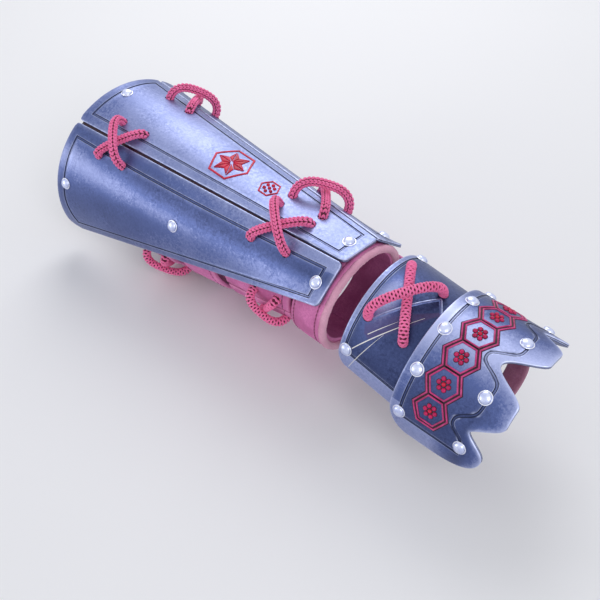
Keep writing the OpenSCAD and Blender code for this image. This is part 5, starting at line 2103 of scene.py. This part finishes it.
@dataclass
class HandGuard:
    """The wrist plate with its lace and lining, the knuckle plate, the link strap and the finger loop."""

    shop: Workshop
    form: HandForm = HandForm()
    relief: Relief = STEEL_RELIEF
    arc_r: float = 39.0
    side_line: float = 61.5
    rear_line: float = -20.6
    lining_t: float = 1.6
    lining_gap: float = 0.2
    lace_rises: tuple = (13.8, 7.8)
    hole_spots: tuple = ((-16.2, -25.5), (7.4, -25.0), (-16.2, 32.5), (7.4, 28.0))
    fold_stops: tuple = ((-13.4, -24.5), (8.9, 21.8), (15.5, 9.5))
    wrist_rivet: tuple = (4.8, 60.0)
    pivot_angle: float = 67.5
    rear_rivet_angle: float = 32.5
    loop_rivet_angle: float = 24.0
    low_rivet_angle: float = 64.0
    hexagon_step: float = 20.9
    strap_half: float = 6.5
    strap_t: float = 2.0
    cuff_rivet_x: float = 2.1
    ear_spot: tuple = (-12.0, 92.0)
    bend_from: float = 13.6
    bend_to: float = 24.6
    loop_half: float = 11.8
    loop_wide: float = 11.0
    loop_t: float = 1.6
    loop_path_r: float = 41.0
    loop_bottom: float = 29.6

    @property
    def grip(self) -> float:
        """Thickness of the wrist plate with its lining."""
        return self.form.wrist_t + self.lining_gap + self.lining_t

    def wrist_plate(self) -> None:
        """The rear plate, engraved along its rear and sides."""
        form, arc = self.form, math.radians(1) * self.arc_r
        edge, line = form.half_angle * arc, self.side_line * arc
        cols = Ruling((False, True, True, False), (-edge, -line, line, edge), self.relief, 1.5)
        t = cols.values([np.array(v) for v in (-edge, -line, line, edge)]) / arc
        inset = 7 * oval_inset(np.abs(t) - (form.half_angle - 13), 13)
        first, last = inset - form.rear, form.front - inset
        rear_line = np.maximum(self.rear_line, first + 2.4)
        rows = Ruling((False, True, False), (-form.rear, self.rear_line, form.front), self.relief, 1.6)
        x = rows.values([first, rear_line, last])
        t = t[None, :] + 0 * x
        inside = np.min([x - rear_line, line - np.abs(t) * arc], axis=0)
        rim = np.maximum(np.min([x - first, last - x, edge - np.abs(t) * arc], axis=0), 0)
        # Painted light and shade: lit at the rear middle, paler beyond the engraved lines, most on the near
        # side, and a little paler towards the far side
        lit = 0.75 * hump(t, -6, 26) * hump(x, -13, 8.5)
        border = np.where(inside < 0, np.where(t < -60, 0.62, 0.42), 0.0)
        shade = 0.17 + lit + border + 0.12 * np.clip((t - 20) / 20, 0, 1)
        piece = relief_sheet(form.wrist, x, t, inside, rim, self.relief, form.wrist_t, STEEL_WALL, shade)
        made = drilled(piece.object("wrist_plate", self.shop.steel_wrist), hole_pegs(self.lace_holes()))
        self.shop.done(made, "hand", "blue_steel", "wrist_plate")

    def lace_holes(self) -> list:
        """The hand lace's holes: rear and front on the near side, then on the far side."""
        return [spot(self.form.wrist, x, t) for x, t in self.hole_spots]

    def fold(self) -> None:
        """The raised fold that runs beside the upper leg of the lace and turns under the knuckle plate, with
        a painted highlight on its crest and painted shade along one edge.
        """
        stops = np.array(self.fold_stops)
        runs = [np.linspace(a, b, 24, endpoint=False) for a, b in zip(stops, stops[1:])]
        path = np.concatenate([*runs, stops[-1:]])
        points, normals = self.form.wrist(path[:, 0], path[:, 1])
        side = np.cross(normals, unit(np.gradient(points, axis=0)))
        section = ((-1.3, -0.1), (-1.0, 0.1), (-0.3, 0.34), (0.25, 0.36), (0.55, 0.2), (0.8, -0.1))
        taper = np.clip(np.arange(len(path)) / 8.0, 0.05, 1)[:, None]
        loops = [points + (w * side + np.maximum(h, h * taper) * normals) for w, h in section]
        piece = tube(np.stack(loops, axis=1))
        # Painted highlight on the crest and painted shade along one edge
        wear, dark = (np.tile(v, len(path)) for v in ((0, 0, 0.1, 0.7, 0.2, 0), (0, 0, 0, 0, 0.1, 0.8)))
        piece.values = {"wear": wear, "dark": dark, "shade": np.full(len(piece.points), 0.55)}
        self.shop.done(piece.object("wrist_plate_fold", self.shop.steel_wrist, 60), "hand", "blue_steel")

    def hand_lace(self) -> None:
        """The wrapped X lace on the wrist plate."""
        name, grips = "wrist_plate_lace", (self.grip, self.grip)
        pieces = self.shop.x_lace(name, self.lace_holes(), self.lace_rises, grips, Weave.RIBBED)
        for piece, nodes in zip(pieces, ((name,), (), ())):
            self.shop.done(piece, "hand", "seam_cord", *nodes)

    def knuckle_plate(self) -> None:
        """The front plate with its wavy edge and the engraved line that follows it."""
        form, arc = self.form, math.radians(1) * self.form.knuckle_r
        edge, line = form.knuckle_half_angle * arc, 70.0 * arc
        fences = (False, True, True, False)
        cols = Ruling(fences, (-edge, -line, line, edge), self.relief, 0.55)
        t = cols.values([np.array(v) for v in (-edge, -line, line, edge)]) / arc
        first, last = form.rear_edge(t), form.front_edge(t)
        rear_line = np.maximum(form.rivet_x, first + 3.5)
        wavy = np.minimum(form.wavy_line(t), last - 3.5)
        rows = Ruling(fences, (form.knuckle_rear, form.rivet_x, 56, 72), self.relief, 1.3)
        x = rows.values([first, rear_line, wavy, last])
        slope, steep = (np.sqrt(1 + np.gradient(v, t * arc) ** 2) for v in (wavy, last))
        t = t[None, :] + 0 * x
        inside = np.min([x - rear_line, (wavy - x) / slope, line - np.abs(t) * arc], axis=0)
        rim = np.min([x - first, (last - x) / steep, edge - np.abs(t) * arc], axis=0)
        # Painted light and shade: lit along the middle, a painted highlight along the wavy front rim, and
        # paler strips beyond the engraved lines towards the rear
        lit = 0.7 * hump(t, 5, 25)
        front = np.exp(-((last - x) / 4.5)) * np.clip((x - 58) / 6, 0, 1)
        border = np.where(t < -60, 0.5, 0.22) * np.clip((58 - x) / 16, 0, 1)
        shade = 0.25 + lit + 0.6 * front * (1 - lit) + np.where(inside < 0, border, 0.0)
        rim = np.maximum(rim, 0)
        piece = relief_sheet(form.knuckle, x, t, inside, rim, self.relief, form.knuckle_t, STEEL_WALL, shade)
        made = piece.object("knuckle_plate", self.shop.steel)
        self.shop.done(made, "knuckle", "blue_steel", "knuckle_plate")

    def on_knuckle(self, flat: Array) -> tuple:
        """Points and normals for flat shapes, as (ahead, across) in mm from the row of hexagons."""
        form = self.form
        return form.knuckle(form.hexagon_x + flat[..., 0], np.degrees(flat[..., 1] / form.knuckle_r))

    def line_round(self, outline: Array, offset: float, section: Sequence[tuple]) -> Piece:
        """A raised line that runs round a closed outline.

        Args:
            outline: The outline's corners.
            offset: How far outside it the line's middle runs.
            section: Pairs of shift and height.

        Returns:
            The closed line.
        """
        loops = []
        for shift, height in section:
            points, normals = self.on_knuckle(dense_round(widened(outline, offset + shift), 7))
            loops.append(points + height * normals)
        return wrapped_grid(np.array(loops), True, True).outward()

    def hexagons(self) -> None:
        """Six enamelled hexagons in a row: a line in each, one line round all, and dark ground between, which
        is painted shadow, with a painted shadow outline round all.
        """
        shop, pitch = self.shop, math.radians(self.hexagon_step) * self.form.knuckle_r
        corners = hexagon(pitch / 2 / math.cos(math.pi / 6))
        centres = [k * pitch / 2 for k in range(-5, 6, 2)]
        up = [corners[k] + (0, c) for c in centres for k in (5, 0)]
        down = [corners[k] + (0, c) for c in centres for k in (4, 3)]
        tip = [corners[k] + (0, centres[-1]) for k in (1, 2)]
        around = np.array(up + tip + down[::-1])
        ridge = ((-0.45, -0.05), (-0.38, 0.32), (-0.22, 0.45), (0.22, 0.45), (0.38, 0.32), (0.45, -0.05))
        # Sections of the painted shadow: the dark ground under the lines and the thin outline round all
        ground = ((-1.45, -0.04), (-1.4, 0.05), (1.4, 0.05), (1.45, -0.04))
        outline = ((-0.3, -0.04), (-0.25, 0.04), (0.25, 0.04), (0.3, -0.04))
        each = [corners + (0, c) for c in centres]
        lines = [self.line_round(c, -0.92, ridge) for c in each] + [self.line_round(around, 0.92, ridge)]
        beds = [self.line_round(c, 0.0, ground) for c in each] + [self.line_round(around, 1.6, outline)]
        made = joined(lines).object("kikko_lines", shop.magenta)
        shop.done(made, "knuckle", "magenta_enamel", "kikko_frames")
        shop.done(joined(beds).object("kikko_ground", shop.shadow_line), "knuckle", "magenta_enamel")
        hearts = np.array([(0.0, c) for c in centres])
        petals = (hearts[:, None, :] + hexagon(2.85)).reshape(-1, 2)
        self.beads("kikko_flowers", petals, bead_stamp(1.2), shop.crimson, "kikko_flowers")
        self.beads("kikko_hearts", hearts, bead_stamp(1.15), shop.red)
        self.beads("flower_beds", np.concatenate([petals, hearts]), bed_stamp(1.5), shop.shadow_line)

    def beads(self, name: str, flat: Array, stamp: Piece, finish: Material, *nodes: str) -> None:
        """Copies of a stamp at flat places round the row of hexagons.

        Args:
            name: The piece's name.
            flat: The places, ahead and across.
            stamp: What is copied.
            finish: Its material.
            *nodes: CAD nodes that it stands for.
        """
        points, normals = self.on_knuckle(flat)
        places = Places.at(points, frame_on(normals, AHEAD + 0 * normals))
        self.shop.done(self.shop.stamper.make(name, stamp, places, finish), "knuckle", "red_enamel", *nodes)

    def all_rivets(self) -> None:
        """The rivets of both plates, each row with its angles, grip and CAD node."""
        form = self.form
        x, t = self.wrist_rivet
        wrist = [spot(form.wrist, x - form.rear, a) for a in (-t, t)]
        self.shop.rivets("wrist_rivets", wrist, self.grip, "hand", "wrist_plate_rivets")
        rear, front = form.rivet_x, form.front_rivet_x
        rows = (
            ("pivot_heads", rear, self.pivot_angle, (-1, 1), 6.9, ("pivot_rivets",)),
            ("knuckle_rear_heads", rear, self.rear_rivet_angle, (-1, 0, 1), 2.0, ("knuckle_rear_rivets",)),
            ("knuckle_front_heads", front, self.loop_rivet_angle, (-1, 1), 3.8, ("knuckle_front_rivets",)),
            ("knuckle_low_heads", front, self.low_rivet_angle, (-1, 1), 2.0, ()),
        )
        for name, at, angle, turns, grip, nodes in rows:
            places = [spot(form.knuckle, at, turn * angle) for turn in turns]
            self.shop.rivets(name, places, grip, "knuckle", *nodes)

    def lining(self) -> None:
        """The leather under the wrist plate, with its ear towards the link strap."""
        t = np.linspace(-74, 112, 94)[None, :]
        in_ear = np.clip((t - 66) / 12, 0, 1)
        share = np.linspace(0, 1, 30)[:, None]
        x = lerp(-22.5, lerp(13.0, -3.0, in_ear), share) + 0 * t
        t = t + 0 * x
        rim = np.minimum(share * 30 + 0 * t, (1 - share) * 30 + 0 * t)
        rim = np.minimum(rim, np.minimum(t + 74, 112 - t) * 0.65)
        below = partial(self.form.wrist, depth=self.form.wrist_t + self.lining_gap)
        no_line = np.full(x.shape, NO_LINE)
        piece = relief_sheet(below, x, t, no_line, rim, HAND_LINING_RELIEF, self.lining_t, LEATHER_WALL)
        made = drilled(piece.object("hand_lining", self.shop.lining), hole_pegs(self.lace_holes()))
        self.shop.done(made, "hand", "pink_lining", "hand_lining")

    def link(self) -> None:
        """The leather strap from the cuff's rivet to the lining's ear."""
        form, ear_x, ear_t = self.form, *self.ear_spot
        hand_x = float(form.world(form.wrist_local(np.array(ear_x), np.array(ear_t)))[0])
        rear, front = self.cuff_rivet_x - self.strap_half, hand_x + self.strap_half
        x = np.linspace(rear, front, 61)[:, None]
        half = self.strap_half - corner_inset(x - rear, 4) - corner_inset(front - x, 4)
        w = half * (1 - 2 * np.linspace(0, 1, 21)[None, :])
        k = np.clip((x - self.bend_from) / (self.bend_to - self.bend_from), 0, 1)
        share = (1 - np.cos(np.pi * k)) / 2
        sides = []
        for depth in (0.0, self.strap_t):
            on_cuff = stack(x + 0 * w, 36.45 - depth, w)
            t = ear_t - np.degrees(w / form.rear_r)
            on_ear = form.world(form.wrist_local(x - hand_x + ear_x + 0 * w, t, 3.8 + depth))
            sides.append(lerp(on_cuff, on_ear, share[..., None]))
        top, bottom = sides
        rim = np.minimum(half - np.abs(w), np.minimum(x - rear, front - x) + 0 * w)
        top = top - edge_rounding(rim)[..., None] * unit(top - bottom)
        made = strap(top, bottom, rim).object("link_strap", self.shop.leather)
        bend = ("hand", (self.bend_from, 36, 0), (self.bend_to, 36, 0))
        self.shop.done(made, "wrist_link", "pink_lining", "link_strap", bend=bend)

    def loop_line(self) -> Array:
        """The finger loop's middle line across the hand: along the plate, down, round and back.

        Returns:
            Its points, as (across, up).
        """
        mid_r, half, bottom = self.loop_path_r, self.loop_half, self.loop_bottom
        start = math.degrees(math.asin(half / mid_r))
        top = mid_r * math.cos(math.radians(start)) - 1.6
        along = np.radians(np.linspace(33, start + 2, 16))
        path = [(-mid_r * math.sin(a), mid_r * math.cos(a)) for a in along]
        path += [(-half, z) for z in np.linspace(top, bottom, 10)]
        turn = np.linspace(0.1, math.pi - 0.1, 30)
        path += [(-half * math.cos(a), bottom - half * math.sin(a)) for a in turn]
        path += [(half, z) for z in np.linspace(bottom, top, 10)]
        path += [(mid_r * math.sin(a), mid_r * math.cos(a)) for a in along[::-1]]
        return smoothed(np.array(path), 3)

    def loop(self) -> None:
        """The leather loop for the middle fingers, hung from the two inner front rivets."""
        line, half = self.loop_line(), self.loop_wide / 2
        run = unit(np.gradient(line, axis=0))
        normal = np.stack([-run[:, 1], run[:, 0]], axis=1)
        x = self.form.front_rivet_x + np.linspace(-half, half, 15)
        from_side = np.minimum(x - x[0], x[-1] - x)[None, :] + 0 * line[:, :1]
        from_end = np.minimum(np.arange(len(line)), np.arange(len(line))[::-1])[:, None] + 0 * x
        rim = np.minimum(from_side, from_end)
        sides = []
        for shift in (self.loop_t / 2 - edge_rounding(rim), np.full(rim.shape, -self.loop_t / 2)):
            p = line[:, None, :] + shift[..., None] * normal[:, None, :]
            sides.append(self.form.world(stack(x[None, :] + 0 * p[..., 0], p[..., 0], p[..., 1])))
        made = strap(*sides, rim).object("finger_loop", self.shop.lining)
        self.shop.done(made, "knuckle", "pink_lining", "finger_loop")

    def build(self) -> None:
        """Makes every piece of the hand guard."""
        self.wrist_plate()
        self.fold()
        self.hand_lace()
        self.knuckle_plate()
        self.hexagons()
        self.all_rivets()
        self.lining()
        self.link()
        self.loop()


@dataclass(frozen=True)
class PhotoCamera:
    """The photograph's camera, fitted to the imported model, in mm and pixels."""

    focal: float = 979.1
    azimuth: float = 48.35
    elevation: float = 43.92
    roll: float = -2.94
    target: tuple = (-96.9, 0.0, -16.0)
    pixel: tuple = (235.08, 231.71)
    distance: float = 620.3
    sensor: float = 36.0

    def make(self) -> None:
        """Adds the camera so that the target point falls on its pixel."""
        a, e, r = (math.radians(v) for v in (self.azimuth, self.elevation, self.roll))
        back = Vector((math.sin(a) * math.cos(e), -math.cos(a) * math.cos(e), math.sin(e)))
        flat = Vector((math.cos(a), math.sin(a), 0))
        upright = back.cross(flat)
        right = flat * math.cos(r) + upright * math.sin(r)
        up = -flat * math.sin(r) + upright * math.cos(r)
        across, below = ((p - FRAME_PIXELS / 2) / self.focal * self.distance for p in self.pixel)
        eye = Vector(self.target) + self.distance * back - across * right + below * up
        data = bpy.data.cameras.new("camera")
        data.sensor_width, data.lens = self.sensor, self.focal / FRAME_PIXELS * self.sensor
        data.clip_start, data.clip_end = 0.01, 20
        made = bpy.data.objects.new("camera", data)
        made.matrix_world = Matrix.Translation(eye * MM) @ Matrix((right, up, back)).transposed().to_4x4()
        bpy.context.scene.collection.objects.link(made)
        bpy.context.scene.camera = made


@dataclass(frozen=True)
class Studio:
    """The pale floor and the soft light."""

    floor: tuple = (0.86, 0.86, 0.88)
    half: float = 4.0
    air: tuple = (0.93, 0.95, 1.0)
    level: float = 0.55

    def lamp(self, name: str, place: tuple, aim: tuple, size: float, power: float) -> None:
        """One square soft lamp.

        Args:
            name: Its name.
            place: Where it stands, in metres.
            aim: What it points at.
            size: Its side.
            power: Its power in watts.
        """
        data = bpy.data.lights.new(name, "AREA")
        data.size, data.energy = size, power
        made = bpy.data.objects.new(name, data)
        made.location = place
        made.rotation_euler = (Vector(aim) - Vector(place)).to_track_quat("-Z", "Y").to_euler()
        bpy.context.scene.collection.objects.link(made)

    def build(self, lowest: float) -> None:
        """Sets the floor just below the object, the lamps and the world.

        Args:
            lowest: Height of the floor in metres.
        """
        scene = bpy.context.scene
        scene.view_settings.view_transform = "Standard"
        corners = [(x * self.half, y * self.half, lowest) for x, y in ((-1, -1), (1, -1), (1, 1), (-1, 1))]
        mesh = bpy.data.meshes.new("floor")
        mesh.from_pydata(corners, [], [(0, 1, 2, 3)])
        s = Shading("studio_floor")
        paler = tuple(c * 1.03 for c in self.floor)
        s.surface(Base_Color=s.blend(s.noise(3, 2), self.floor, paler), Roughness=0.9)
        mesh.materials.append(s.material)
        floor = bpy.data.objects.new("floor", mesh)
        scene.collection.objects.link(floor)
        floor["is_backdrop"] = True
        scene.world = self.world()
        self.lamp("key", (-0.5, 0.5, 0.68), (-0.03, 0, 0), 0.6, 3.6)
        self.lamp("side", (-0.55, -0.8, 0.16), (-0.1, 0, 0), 0.4, 1.3)
        self.lamp("front", (0.75, -0.35, 0.7), (0.05, 0, 0), 0.5, 2.8)

    def world(self) -> bpy.types.World:
        """White for what looks at it, straight or in a mirror, and a plain level for what it lights.

        Returns:
            The world.
        """
        made = bpy.data.worlds.new("studio")
        made.use_nodes = True
        tree = made.node_tree
        path = tree.nodes.new("ShaderNodeLightPath")
        lights, shows = tree.nodes["Background"], tree.nodes.new("ShaderNodeBackground")
        for node, colour, strength in ((lights, self.air, self.level), (shows, (1, 1, 1), 1.0)):
            node.inputs["Color"].default_value = (*colour, 1)
            node.inputs["Strength"].default_value = strength
        share = path.outputs["Is Camera Ray"]
        for name in ("Is Glossy Ray", "Is Transmission Ray"):
            either = tree.nodes.new("ShaderNodeMath")
            either.operation = "MAXIMUM"
            tree.links.new(share, either.inputs[0])
            tree.links.new(path.outputs[name], either.inputs[1])
            share = either.outputs[0]
        mix = tree.nodes.new("ShaderNodeMixShader")
        for source, socket in zip((share, lights.outputs[0], shows.outputs[0]), mix.inputs):
            tree.links.new(source, socket)
        tree.links.new(mix.outputs[0], tree.nodes["World Output"].inputs["Surface"])
        return made


def wrist_mark(
    form: HandForm, a: tuple, b: tuple, half: float, share: float = 1.0, tone: tuple = (0.74, 0.72, 0.7)
) -> tuple:
    """A mark on the wrist plate, as BlueSteel.marks takes it."""
    first, last = spot(form.wrist, *a), spot(form.wrist, *b)
    return first[0], last[0], unit(first[1] + last[1]), half, share, tone


def workshop(form: HandForm) -> Workshop:
    """Builds every finish and the stamper.

    Args:
        form: The hand guard's surfaces, for the marks on it.

    Returns:
        The workshop.
    """
    marks = (
        # The first mark is a painted reflection of the pink cord below the lace's upper leg; the others are
        # scratches
        wrist_mark(form, (-12.5, -36.0), (14.0, 9.0), 4.6, 0.45, (0.085, 0.04, 0.12)),
        wrist_mark(form, (-16.5, -55.5), (9.5, -0.6), 0.27),
        wrist_mark(form, (-16.0, -75.0), (-3.6, -29.5), 0.2),
        wrist_mark(form, (-11.5, -37.0), (-0.8, -15.1), 0.2),
    )
    finishes = {
        "steel": ("blue_steel", BlueSteel()),
        "steel_wrist": ("blue_steel_wrist", BlueSteel(marks=marks)),
        "leather": ("pink_leather", Leather()),
        "lining": ("pink_lining", Leather((0.42, 0.17, 0.27), (0.26, 0.08, 0.15), (0.5, 0.24, 0.33), 0.7)),
        "piping": ("piping_leather", Leather((0.78, 0.36, 0.52), (0.5, 0.16, 0.3), (0.85, 0.5, 0.62), 0.55)),
        "yarn": ("seam_cord", Yarn()),
        # A near-black core that paints shade between a cord's leaves and ribs
        "yarn_core": ("seam_cord_core", Yarn((0.12, 0.001, 0.03), (0.05, 0.0, 0.012))),
        "thread": ("seam_thread", Yarn((0.3, 0.06, 0.15), (0.15, 0.02, 0.07))),
        "bright": ("silver_rivet", BrightMetal()),
        "dull": ("burr_metal", BrightMetal((0.6, 0.61, 0.64), (0.4, 0.42, 0.46), roughness=(0.3, 0.5))),
        "red": ("red_enamel", Enamel()),
        "crimson": ("crimson_enamel", Enamel((0.66, 0.008, 0.13), (0.34, 0.002, 0.06))),
        "magenta": ("magenta_enamel", Enamel((0.66, 0.06, 0.25), (0.34, 0.015, 0.11))),
        # Near-black enamel for painted shadow in the seams, under the hexagon lines and round the beads
        "shadow_line": ("dark_enamel", Enamel((0.05, 0.008, 0.03), (0.015, 0.002, 0.01))),
        "washer": (
            "washer_leather",
            Leather((0.1, 0.05, 0.035), (0.05, 0.025, 0.02), (0.16, 0.09, 0.06), 0.6),
        ),
    }
    return Workshop(Stamper(), **{key: finish.make(name) for key, (name, finish) in finishes.items()})


def dress_small_parts(frame: dict, shop: Workshop) -> None:
    """Gives the CAD solids that stay, such as burrs and washers, their finishes.

    Args:
        shop: The finishes.
    """
    for name, made in frame["nodes"].items():
        if made.hide_render:
            continue
        finish = shop.bright if "rivet" in name else shop.washer if "washer" in name else shop.dull
        made.data.materials.clear()
        made.data.materials.append(finish)
        LOG.info("%s keeps its solid, in %s", name, finish.name)


def main() -> None:
    """Builds the gauntlet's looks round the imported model."""
    logging.basicConfig(level=logging.INFO, format="%(name)s: %(message)s")
    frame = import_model()
    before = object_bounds()
    PhotoCamera().make()
    shop = workshop(HandForm())
    ForearmPlates(shop).build()
    LeatherSleeve(shop).build()
    HandGuard(shop).build()
    dress_small_parts(frame, shop)
    Studio().build(float(before[0][2]) - 0.5 * MM)


if __name__ == "__main__":
    main()
